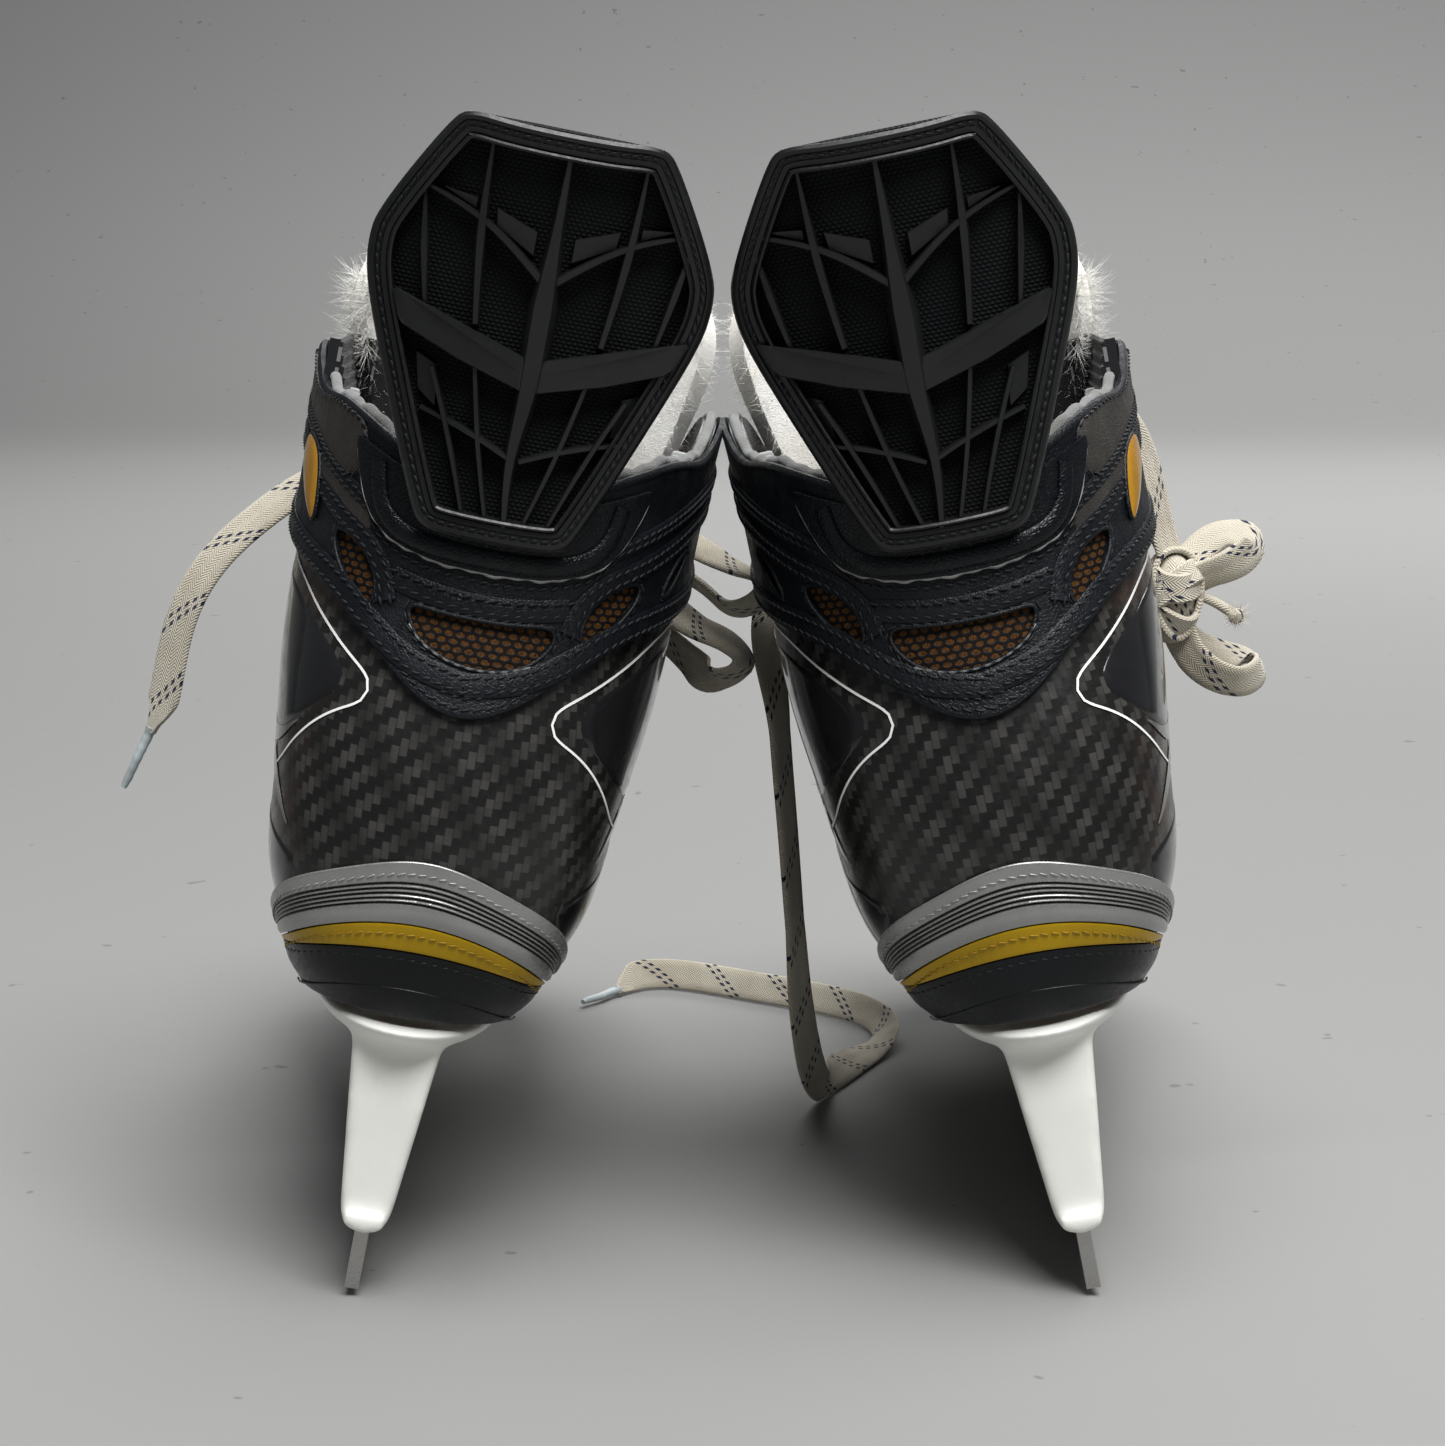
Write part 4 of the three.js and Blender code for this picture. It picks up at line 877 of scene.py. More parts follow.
def makeHeel():
    look = {"end": 0.27, "grooves": 5, "out": 1.95}

    def ribs(t, share):
        # a smooth top strip, five grooves, and a smooth strip below
        phase = (share - 0.3) / 0.42 * look["grooves"]
        inside = (share > 0.3) & (share < 0.72)
        dip = np.where(inside, np.clip(1.3 - 3.6 * np.abs(phase - np.floor(phase) - 0.5), 0, 1), 0)
        return look["out"] - 0.75 * dip + 0.25 * np.sin(np.pi * np.clip(share / 0.3, 0, 1))

    band = skinPatch(
        "heel_band", (
            -look["end"], look["end"],
        ), lambda t: stripeTop(t) + 0.003, bandTop, ribs, 1.1, (220, 64), 0.15
    )
    pair(band, "heel_band", silver, replaced=["heel_band"])
    grooves = []
    for k in range(look["grooves"]):
        share = 0.3 + 0.42 * (k + 0.5) / look["grooves"]
        t = np.linspace(-look["end"] + 0.006, look["end"] - 0.006, 120)
        v = stripeTop(t) + share * (bandTop(t) - stripeTop(t))
        grooves.append(sweep("groove", onBoot(t, v, 1.28), skinNormal(t, v), roundSection(0.34, 6)))
    pair(joined("band_grooves", grooves), "band_grooves", outsoleRubber)
    stripeLow = lambda t: rimTop(t) + 0.003
    stripe = skinPatch(
        "heel_stripe", (-0.245, 0.245), stripeLow, lambda t: stripeTop(t) - 0.001, 1.95, 1.1, (160, 8), 0.3,
    )
    pair(stripe, "heel_stripe", gold, replaced=["heel_stripe"])
    pair(
        stitches("s", [edgeLine(bandTop, (-0.26, 0.26), 200, 2.05, -2.1)], 2.1, 1.9, 0.22), "band_stitches",
        greyThread,
    )
    pair(
        stitches("s", [edgeLine(stripeTop, (-0.2, 0.2), 160, 2.1, -2.0)], 2.1, 1.9, 0.22),
        "stripe_stitches",
        goldThread,
    )
    pair(
        stitches("s", [edgeLine(rimTop, (-0.24, 0.24), 160, 2.05, -1.6)], 2.3, 1.5, 0.22), "rim_stitches",
        blackThread,
    )
    edge = edgeLine(bandTop, (-0.265, 0.265), 160, 1.5, 0.1)
    pair(sweep("e", *edge, roundSection(0.4, 8)), "band_edge", silver)


def sideRim(t):
    sides = levelOf(t, lastPoint(t, np.zeros_like(t))[:, 2] + 5)
    share = np.clip((np.abs(t) - 0.24) / 0.06, 0, 1)
    return rimTop(np.clip(t, -0.28, 0.28)) * (1 - share) + sides * share


def soleBottom(y):
    return spline([0, 60, 120, 160, 200, 240], [63, 60.4, 56.2, 55, 55.4, 58], np.atleast_1d(y))


toeTip, toeSeam = 238, 192


def soleHalfWidth(y):
    y = np.atleast_1d(np.asarray(y, float))
    t = np.linspace(0, 1, 300)
    edge = lastPoint(t, np.zeros_like(t))
    rear = np.interp(y, edge[:, 1], edge[:, 0])
    share = np.clip((y - toeSeam) / (toeTip - toeSeam), 0, 1)
    return np.where(y > toeSeam, 37 * (1 - share**2.4) ** (1 / 2.2), rear)


def solePlate(name, span, inset, low, high, round_, cells):
    # A plate that follows the sole's outline, with rounded edges.
    obj, share = grid(name, cells)
    y = span[0] + (1 - np.cos(np.pi * share[:, 1])) / 2 * (span[1] - span[0])
    half = np.maximum(1.5, soleHalfWidth(y) - inset)
    x = (share[:, 0] * 2 - 1) * half
    writePoints(obj, np.stack([x, y, soleBottom(y) + high], 1))
    setUv(obj, np.stack([x, y], 1))
    applyModifier(obj, "SOLIDIFY", thickness=high - low, offset=-1)
    applyModifier(obj, "BEVEL", width=round_, segments=3, limit_method="ANGLE", angle_limit=math.radians(50))
    return smooth(obj, 50)


def makeOutsole():
    rim = skinPatch(
        "rim", (-0.985, 0.985), level(0), sideRim, lambda t, s: 1.95 + 0.5 * np.sin(np.pi * s) ** 2, 1.2,
        (260, 14), 0.3,
    )
    plate = solePlate("plate", (3.4, toeTip), -1.7, 0, 4, 1.4, (24, 120))
    ridge = edgeLine(rimTop, (-0.235, 0.235), 120, 2.35, -8.2)
    crease = sweep("crease", *ridge, roundSection(0.3, 6), heights=np.full(120, 0.8))
    pair(
        joined("outsole", [rim, plate, crease]), "outsole", outsoleRubber, replaced=["outsole"],
    )


makeHeel()
makeOutsole()
print("heel")


def makeCollar():
    look = {"end": 0.525, "out": 2.0, "thick": 1.25, "piping": 0.5}
    collar = skinPatch(
        "collar", (-look["end"], look["end"]), collarLowerEdge, level(1), look["out"], look["thick"],
        (300, 72), 0.3,
    )
    backWindow = [
        (-0.068, 147.4), (-0.03, 146.6), (0.03, 146.6), (0.075, 147.8), (0.078, 144), (0.055, 138.8),
        (0.025, 136.4), (-0.012, 136.6), (-0.045, 139.6), (-0.06, 143),
    ]
    sideWindow = [
        (0.104, 144.5), (0.107, 150.3), (0.122, 154.6), (0.15, 157.5), (0.185, 158.6), (0.186, 155),
        (0.16, 150.2), (0.13, 146),
    ]
    highWindow = [(0.235, 154.5), (0.262, 160.5), (0.3, 164.5), (0.325, 165), (0.3, 160.8), (0.265, 156.2)]
    outlines = [backWindow, sideWindow, [(-t, z) for t, z in sideWindow], highWindow]
    panels, piping, cuts, seams = [], [], [], []
    for outline in outlines:
        places = smoothOutline(outline, 72)
        cutter = ringPatch(
            "cutter", places,
            [(0.01, -0.6), (0.35, -0.6), (0.7, -0.6), (1, -0.6), (1, 5), (0.7, 5), (0.35, 5), (0.01, 5)],
        )
        applyModifier(collar, "BOOLEAN", operation="DIFFERENCE", object=cutter, solver="EXACT")
        bpy.data.objects.remove(cutter)
        rings = [(0.01, 0.95), (0.3, 0.95), (0.6, 0.95), (0.85, 0.9), (1.12, 0.8)]
        panels.append(ringPatch("panel", places, rings))
        points, normals = skinLine(outline, 140, look["out"], True)
        piping.append(sweep("piping", points, normals, roundSection(look["piping"], 8), closed=True))
        if outline is backWindow:
            bottom = [p for p in outline if p[1] < np.mean(outline, 0)[1] + 1]
            points, normals = skinLine(bottom, 80, look["out"] + 0.3)
            cuts.append(
                sweep(
                    "cut", points, normals, roundSection(0.2, 6),
                    widths=1 + 0.5 * np.sin(np.arange(80) * 0.9),
                )
            )
        middle = np.mean(np.array(outline), 0)
        wide = np.array(outline) * turnScale
        outward = unit(wide - middle * turnScale) * 2.3
        seams.append(skinLine((wide + outward) / turnScale, 200, look["out"] + 0.12, True))
    smooth(collar)
    pair(collar, "collar", blackLeather, replaced=["collar"])
    pair(joined("window_mesh", panels), "window_mesh", goldNet)
    pair(joined("window_piping", piping), "window_piping", blackLeather)
    pair(joined("window_cuts", cuts), "window_cuts", cutEdge)

    # leather straps laid over the collar: raised strips with stitched edges
    raised = []
    for side in (-1, 1):
        for route, width in (
            (
                [
                    (0.0, 133), (0.05, 135.2), (0.1, 141.5), (0.16, 148.2), (0.24, 151.5), (0.38, 155),
                    (0.5, 159),
                ],
                5.0,
            ),
            (
                [
                    (0.09, 146.5), (0.1, 152.5), (0.13, 158), (0.18, 161.4), (0.25, 165.5), (0.34, 170),
                    (0.5, 176),
                ],
                4.2,
            ),
            ([(0.115, 163), (0.16, 166.5), (0.23, 170.5), (0.33, 175), (0.5, 181)], 3.4),
        ):
            points, normals = skinLine([(side * t, z) for t, z in route], 120, look["out"] - 0.1)
            half = width / 2
            section = [
                (-half, 0), (half, 0), (half, 0.45), (half - 0.4, 0.62), (0.4 - half, 0.62), (-half, 0.45),
            ]
            raised.append(sweep("strip", points, normals, section))
            for offset in (half - 1.0, 1.0 - half):
                sideways = unit(np.cross(normals, np.gradient(points, axis=0)))
                seams.append((points + sideways * offset + normals * 0.72, normals))
    points, normals = skinLine(
        [(-0.088, 151.6), (-0.04, 149.9), (0, 149.5), (0.04, 149.9), (0.088, 151.6)], 80, look["out"] - 0.1,
    )
    raised.append(
        sweep(
            "strip", points, normals,
            [(-2.3, 0), (2.3, 0), (2.3, 0.4), (1.9, 0.6), (-1.9, 0.6), (-2.3, 0.4)],
        )
    )
    seams += [(points + np.array((0, 0, rise)) + normals * 0.7, normals) for rise in (-1.3, 1.4)]
    pair(joined("collar_straps", raised), "collar_straps", blackLeather)
    for rise in (1.3, 3.6):
        seams.append(edgeLine(collarLowerEdge, (-0.5, 0.5), 420, look["out"] + 0.12, rise))
    pair(stitches("seams", seams, 2.45, 2.0, 0.27), "collar_stitches", blackThread)
    edge = edgeLine(collarLowerEdge, (-0.52, 0.52), 300, 1.35, 0.05)
    pair(sweep("edge", *edge, roundSection(0.55, 8)), "collar_edge", blackLeather)

    # brown facing on the outer side, and the badge's plain lozenge
    outline = [
        (-0.16, 168), (-0.158, 181), (-0.24, 184.5), (-0.33, 186.5), (-0.5, 191), (-0.5, 182),
        (-0.33, 176.5),
        (-0.24, 171.8),
    ]
    places = smoothOutline(outline, 90)
    rings = [(0.01, 2.5), (0.3, 2.5), (0.6, 2.5), (0.85, 2.5), (0.98, 2.45), (1, 2.0)]
    facing = ringPatch("facing", places, rings)
    lower = [
        (-0.125, 158.5), (-0.135, 164.5), (-0.2, 168.6), (-0.3, 172.5), (-0.3, 169), (-0.2, 165),
        (-0.16, 161.5),
    ]
    places = smoothOutline(lower, 90)
    facings = joined("facing", [facing, ringPatch("facing", places, rings)])
    pair(facings, "outer_facing", brownLeather)
    closed = [skinLine(np.array(outline) * (0.97, 1) + (-0.006, 0), 200, 2.62, True)]
    pair(stitches("facing", closed, 2.4, 2.0, 0.27), "facing_stitches", blackThread)
    badge = [
        (-0.238, 157), (-0.252, 166), (-0.282, 172.5), (-0.345, 174.5), (-0.35, 169.5), (-0.3, 163),
        (-0.262, 158.5),
    ]
    places = smoothOutline(badge, 60, 1)
    lozenge = ringPatch("badge", places, [(0.01, 3.5), (0.5, 3.4), (0.85, 3.25), (0.97, 3.0), (1, 2.0)])
    pair(lozenge, "badge", amberBadge)
    points, normals = skinLine(badge, 90, 2.5, True)
    pair(sweep("rim", points, normals, roundSection(0.55, 8), closed=True), "badge_rim", blackLeather)


def makeGuardBase():
    # smooth leather under the guard, with a light cut edge and a moulded step round the guard's foot
    base = skinPatch("base", (-0.17, 0.17), guardBaseEdge, level(0.985), 3.35, 1.2, (120, 30), 0.3)
    pair(base, "guard_base", smoothLeather, replaced=["guard_base"])
    points, normals = edgeLine(guardBaseEdge, (-0.168, 0.168), 160, 2.7, -0.1)
    wave = np.array([[0, 0, 0.35 * math.sin(9 * s) * math.sin(23 * s)] for s in np.linspace(0, 3, 160)])
    pair(
        sweep("edge", points + wave, normals, roundSection(0.42, 8), heights=np.full(160, 1.5)),
        "base_edge",
        cutEdge,
    )
    lines = [edgeLine(guardBaseEdge, (-0.168, 0.168), 160, 2.2, -2.0)]
    pair(stitches("base", lines, 2.4, 2.0, 0.27), "base_stitches", blackThread)
    step = [
        (-0.128, 174), (-0.118, 166), (-0.092, 161.4), (-0.05, 159.8), (0, 159.6), (0.05, 159.8),
        (0.092, 161.4), (0.118, 166), (0.128, 174),
    ]
    points, normals = skinLine(step, 120, 3.2)
    section = [(-1.8, 0), (1.8, 0), (1.8, 0.7), (1.1, 1.15), (-1.1, 1.15), (-1.8, 0.7)]
    pair(sweep("step", points, normals, section), "base_step", smoothLeather)


def makeRim():
    # the boot's top line: felt lining inside, and leather turned over it
    lining = skinPatch(
        "rim", (-0.5, 0.5), level(0.9), lambda t: np.full(
            len(t), 0.997,
        ), lambda t, s: -0.05 + 0 * t, 3.1, (200, 10), 0.9
    )
    share = np.linspace(-0.5, 0.5, 240)
    points = onBoot(share, np.full(240, 0.999), -1.4) + np.array([[0, 0, 0.9]])
    wobble = np.array([[0, 0, 0.35 * math.sin(61 * s) + 0.25 * math.sin(147 * s)] for s in share])
    roll = sweep("roll", points + wobble, skinNormal(share, np.full(240, 0.98)), roundSection(1.2, 12))
    pair(joined("rim_lining", [lining, roll]), "rim_lining", greyFelt)
    points = onBoot(share, np.full(240, 1.0), 1.2)
    normals = skinNormal(share, np.full(240, 0.98))
    section = [(-1.1, -1.0), (1.1, -0.6), (1.2, 0.4), (0.5, 1.0), (-0.6, 0.9), (-1.3, 0.2)]
    pair(sweep("turned", points, normals, section), "rim_leather", blackLeather)
    liner = skinPatch("liner", (-0.43, 0.43), level(0.12), level(0.97), -4.1, 4, (160, 40), 0.8)
    made = pair(liner, "ankle_liner", liningKnit, replaced=["ankle_liner"])


makeCollar()
makeGuardBase()
makeRim()
print("collar")


guardLook = {"foot": 163, "height": 84.5, "bend": 60, "seat": 1.9, "shift": 1.7}
guardFootY = float(onBoot(0, levelOf(0, guardLook["foot"]), 3.5)[0, 1]) - 0.35


def onGuard(flat):
    # (across, height, depth) to the skate's frame.
    x, h, depth = np.asarray(flat, float).T
    s = h / guardLook["height"]
    y = guardFootY - 1.5 * s - 12.5 * s * s + x * x / (2 * guardLook["bend"]) - depth
    return np.stack([x, y, guardLook["foot"] + h], 1)


def toGuard(obj):
    flat = readPoints(obj)
    writePoints(obj, onGuard(flat))
    recalculate(obj)
    return obj


guardHalf = [
    (8, 0), (14.5, 0.7), (17.5, 4.5), (30.2, 36), (34.4, 48), (35.2, 55), (34.2, 61.5), (22.5, 81.5),
    (19, 84), (9, 82.9),
]
guardOutline = guardHalf + [(-x, h) for x, h in guardHalf[::-1]]


def guardHalfWidth(height):
    # Half of the padding's width at a height above the guard's foot.
    return np.interp(height, [0, 4, 36, 48, 55, 61, 82, 84.5], [13.5, 16, 29, 33.2, 34, 33, 21, 17.5])


def inset(outline, distance):
    # The outline moved inwards.
    points = np.asarray(outline, float)
    along = unit(np.roll(points, -1, 0) - np.roll(points, 1, 0))
    return points + np.stack([-along[:, 1], along[:, 0]], 1) * distance


def makeGuard():
    smoothed = resample(chaikin(guardOutline, 3), 240, True)
    seat = guardLook["seat"]

    def closedStrip(offset, section, depth):
        line = inset(smoothed, offset)
        points = np.hstack([line, np.full((len(line), 1), depth)])
        return sweep("strip", points, np.tile((0, 0, 1.0), (len(line), 1)), section, closed=True)

    border = [
        (-2.3, 0), (2.3, 0), (2.3, 1.6), (1.7, 2.5), (0.75, 2.6), (0.5, 2.1), (-0.5, 2.1), (-0.75, 2.6),
        (-1.5, 2.6), (-2.2, 1.9),
    ]
    lip = [(-0.7, 0), (0.7, 0), (0.5, 3.4), (0.1, 3.7), (-0.3, 3.4)]
    pieces = [closedStrip(2.4, border, seat), closedStrip(4.75, lip, seat - 0.2)]

    def rib(route, widths, heights):
        count = 28
        path = smoothLine([(x + guardLook["shift"], h) for x, h in route], count)
        marks = np.linspace(0, 1, count)
        keys = np.linspace(0, 1, len(widths))
        points = np.hstack([path, np.full((count, 1), seat - 0.6)])
        section = [(-0.75, 0), (0.75, 0), (0.52, 0.86), (0.4, 1), (-0.4, 1), (-0.52, 0.86)]
        wide, high = 0.95 * np.interp(marks, keys, widths), np.interp(marks, keys, heights)
        pieces.append(
            sweep("rib", points, np.tile((0, 0, 1.0), (count, 1)), section, widths=wide, heights=high)
        )

    def plate(corners, depth, top):
        shape = resample([(x + guardLook["shift"], h) for x, h in corners], 40, True)
        low = np.hstack([shape, np.full((40, 1), depth)])
        middle = shape.mean(0)
        lid = np.hstack([middle + (shape - middle) * 0.94, np.full((40, 1), top)])
        body = np.hstack([shape, np.full((40, 1), top - 0.4)])
        points = np.vstack([low, body, lid])
        faces = [
            (a + k, a + (k + 1) % 40, a + 40 + (k + 1) % 40, a + 40 + k) for a in (0, 40) for k in range(40)
        ]
        faces += [tuple(range(40))[::-1], tuple(80 + k for k in range(40))]
        pieces.append(newMesh("plate", points, faces, points[:, :2]))

    rib(
        [(0, 78.5), (0, 58), (0, 42), (0, 32), (-0.9, 18), (0.2, 4)], [1.0, 2.2, 4.6, 4.2, 2.2, 1.0],
        [3.0, 4.6, 5.0, 4.8, 4.2, 3.2],
    )
    for side in (-1, 1):
        on = lambda route: [(side * x, h) for x, h in route]
        rib(on([(15.2, 79), (14.7, 63), (12.6, 43)]), [0.7, 1.9, 1.2], [2.6, 4.2, 3.6])
        rib(on([(26.8, 67), (25.2, 56), (23.2, 45)]), [0.7, 1.6, 0.9], [2.6, 4.0, 3.4])
        rib(on([(1.5, 54), (14.6, 63.4), (26.5, 68)]), [1.6, 1.3, 0.8], [4.2, 4.0, 2.8])
        rib(on([(19.6, 33), (14, 20), (8.4, 4.5)]), [1.0, 1.1, 0.8], [4.0, 4.2, 2.8])
        rib(on([(11.4, 36), (8.0, 20.3), (3.6, 4.2)]), [1.0, 1.1, 0.8], [4.0, 4.2, 2.8])
        rib(on([(0.8, 17.6), (8.3, 20.9), (20.6, 24.6)]), [0.9, 1.1, 0.8], [4.0, 4.2, 3.0])
        plate(
            on([(1.2, 31.6), (15, 35.6), (27.6, 40.4), (30.2, 47.2), (15, 42.6), (1.2, 38.2)]), seat - 0.6,
            seat + 4.2,
        )
        plate(on([(3.6, 58.2), (12.0, 62.8), (12.5, 66.3), (3.6, 63.0)]), seat - 0.6, seat + 1.6)
        plate(on([(16.2, 65.2), (23.6, 68.4), (16.2, 67.4)]), seat - 0.6, seat + 1.3)
        plate(on([(18.6, 33.5), (23.4, 35.6), (21.8, 28), (17.6, 25)]), seat - 0.6, seat + 1.2)
    lattice = toGuard(joined("tendon_guard", pieces))
    smooth(lattice, 35)
    pair(lattice, "tendon_guard", guardRubber, part="guard", replaced=["tendon_guard"])

    # the padding behind the lattice, covered with knit
    obj, share = grid("backing", (110, 130))
    h = 1.0 + share[:, 1] * 82.0
    x = (share[:, 0] * 2 - 1) * (guardHalfWidth(h) - 0.9)
    rise = 0.25 * np.sin(x / 5.2) * np.sin(h / 7.5)
    writePoints(obj, onGuard(np.stack([x, h, 1.75 + rise], 1)))
    setUv(obj, np.stack([x, h], 1))
    applyModifier(obj, "SOLIDIFY", thickness=1.7, offset=-1)
    smooth(obj)
    recalculate(obj)
    for piece in pair(
        obj, "guard_backing", backingKnit, part="guard", replaced=["guard_backing"],
    ):
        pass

    # a soft inner face of leather, seen from the front, and the stitches in the border's groove
    obj, share = grid("inner", (60, 80))
    h = 0.6 + share[:, 1] * 82.6
    x = (share[:, 0] * 2 - 1) * (guardHalfWidth(h) + 0.2)
    writePoints(obj, onGuard(np.stack([x, h, 0.05 + 0 * x], 1)))
    setUv(obj, np.stack([x, h], 1))
    applyModifier(obj, "SOLIDIFY", thickness=0.9, offset=-1)
    smooth(obj)
    recalculate(obj)
    pair(obj, "guard_inner", smoothLeather, part="guard")
    groove = inset(smoothed, 2.4)
    flat = np.hstack([groove, np.full((len(groove), 1), seat + 2.3)])
    sewn = stitches(
        "guard", [(np.vstack([flat, flat[:1]]), np.tile((0, 0, 1.0), (len(flat) + 1, 1)))], 2.1, 1.8, 0.3,
        10,
    )
    pair(toGuard(sewn), "guard_stitches", blackThread, part="guard")


makeGuard()
print("guard")


# The tongue is one piece of thick felt that bends where its top flops forwards. Its stations run from the toe
# up: distance forwards, height, half width and the radius of its back.
tongueStations = [
    (171, 97, 15, 24), (156, 107, 20, 27), (140, 118.5, 25, 30), (125, 133, 29, 33), (114, 151, 32, 40),
    (107.5, 169, 34.5, 48), (104, 186, 38, 56), (102, 203, 41.5, 62), (101.5, 215, 38.5, 64),
    (101.5, 222, 30, 64),
]


def fuzz(name, obj, count, length, radius, chosen=None):
    # Loose fibres that stand out of a piece: thin curled blades.
    mesh = obj.data
    wanted = [f for f in mesh.polygons if chosen is None or chosen(f.center)]
    points, faces = [], []
    for _ in range(count if wanted else 0):
        face = rng.choice(wanted)
        start = np.array(face.center)
        normal = np.array(face.normal)
        aim = unit(normal + np.array([rng.gauss(0, 0.9) for _ in range(3)]))
        bent = unit(aim + np.array([rng.gauss(0, 0.8) for _ in range(3)]))
        side = unit(np.cross(aim, bent)) * radius
        reach = length * rng.uniform(0.35, 1.0)
        first = len(points)
        for share in (0, 0.35, 0.7, 1.0):
            place = start + aim * reach * share + bent * reach * 0.6 * share * share
            points += [place - side * (1.05 - share), place + side * (1.05 - share)]
        faces += [(first + k, first + k + 1, first + k + 3, first + k + 2) for k in (0, 2, 4)]
    return newMesh(name, points, faces)


def makeTongue():
    look = {"thick": 6.6, "edge": 2.6}
    knots = np.arange(len(tongueStations))
    obj, share = grid("tongue", (44, 96))
    station = spline(knots, tongueStations, share[:, 1] * (len(knots) - 1))
    corner = np.clip((share[:, 1] - 0.93) / 0.07, 0, 1)
    half = station[:, 2] * (1 - 0.12 * corner**3)
    x = (share[:, 0] * 2 - 1) * half
    normal = np.gradient(spline(knots, tongueStations, np.linspace(0, len(knots) - 1, 200))[:, :2], axis=0)
    ahead = unit(np.stack([normal[:, 1], -normal[:, 0]], 1))
    facing = np.stack([np.interp(share[:, 1], np.linspace(0, 1, 200), ahead[:, k]) for k in (0, 1)], 1)
    back = x * x / (2 * station[:, 3])
    lumps = 0.5 * np.sin(x / 7.0 + 1.0) * np.sin(share[:, 1] * 31)
    writePoints(
        obj,
        np.stack(
            [x, station[:, 0] + facing[:, 0] * (lumps - back), station[:, 1] + facing[:, 1] * (lumps - back)],
            1,
        ),
    )
    setUv(obj, np.stack([x, share[:, 1] * 150], 1))
    recalculate(obj)
    face = obj.data.polygons[len(obj.data.polygons) // 2]
    applyModifier(obj, "SOLIDIFY", thickness=look["thick"], offset=-1 if face.normal.y > 0 else 1)
    applyModifier(
        obj, "BEVEL", width=look["edge"], segments=4, limit_method="ANGLE", angle_limit=math.radians(60),
    )
    recalculate(obj)
    smooth(obj, 70)
    kept = obj.copy()
    kept.data = obj.data.copy()
    bpy.context.scene.collection.objects.link(kept)
    top = lambda c: c.z > 176
    fibres = fuzz("tongue_fuzz", obj, 5200, 3.0, 0.045, top)
    edge = lambda c: c.x < -36 and 184 < c.z < 208
    fluff = fuzz("fluff", obj, 1500, 5.5, 0.06, edge)
    fibres = joined("tongue_fuzz", [fibres, fluff])
    bent = [
        pair(
            obj, "tongue", whiteFelt, part="blend", replaced=["tongue_body", "tongue_top"],
        )
    ]
    bent.append(pair(fibres, "tongue_fuzz", whiteFelt, part="blend"))
    for pieces in bent:
        for piece, side in zip(pieces, places):
            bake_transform(piece)
    return kept


def makeLabel(tongue):
    # a woven label laid on the tongue's back, with plain bars for its text
    look = {"from": (-43, 176.5), "size": (17, 17.5), "out": 0.35}

    def lay(obj, out):
        flat = readPoints(obj)
        writePoints(obj, np.stack([flat[:, 0], np.full(len(flat), 60.0), flat[:, 1]], 1))
        applyModifier(
            obj, "SHRINKWRAP", target=tongue, wrap_method="PROJECT", use_project_y=True,
            use_positive_direction=True,
            use_negative_direction=False, offset=0,
        )
        points = readPoints(obj)
        writePoints(obj, points - np.array([[0, out, 0]]))
        return obj

    obj, share = grid("label", (30, 30))
    flat = np.array(look["from"]) + share * look["size"]
    writePoints(obj, np.hstack([flat, np.zeros((len(flat), 1))]))
    setUv(obj, flat)
    lay(obj, look["out"])
    applyModifier(obj, "SOLIDIFY", thickness=0.5, offset=0)
    recalculate(obj)
    bars = []
    for low, tall in ((178, 5.2), (184.5, 3.4), (189.2, 3.2)):
        for column in (2.2, 5.0, 8.6):
            bar, share = grid("bar", (3, 12))
            flat = np.array([look["from"][0] + column, low]) + share * (0.8 if column < 8 else 0.5, tall)
            writePoints(bar, np.hstack([flat, np.zeros((len(flat), 1))]))
            bars.append(lay(bar, look["out"] + 0.36))
    pair(
        smooth(obj), "tongue_label", labelCloth, part="tongue_flap", replaced=["tongue_label"],
    )
    pair(joined("bars", bars), "label_bars", greyThread, part="tongue_flap")
    bpy.data.objects.remove(tongue)


makeLabel(makeTongue())
print("tongue")


def nodeCopy(node, place):
    source = frame["nodes"][node]
    obj = source.copy()
    obj.data = source.data.copy()
    obj.name = "copy"
    obj.hide_render = obj.hide_viewport = False
    for key in list(obj.keys()):
        del obj[key]
    obj.parent = None
    obj.matrix_world = Matrix.Identity(4)
    bpy.context.scene.collection.objects.link(obj)
    obj.data.transform(place.inverted())
    return obj


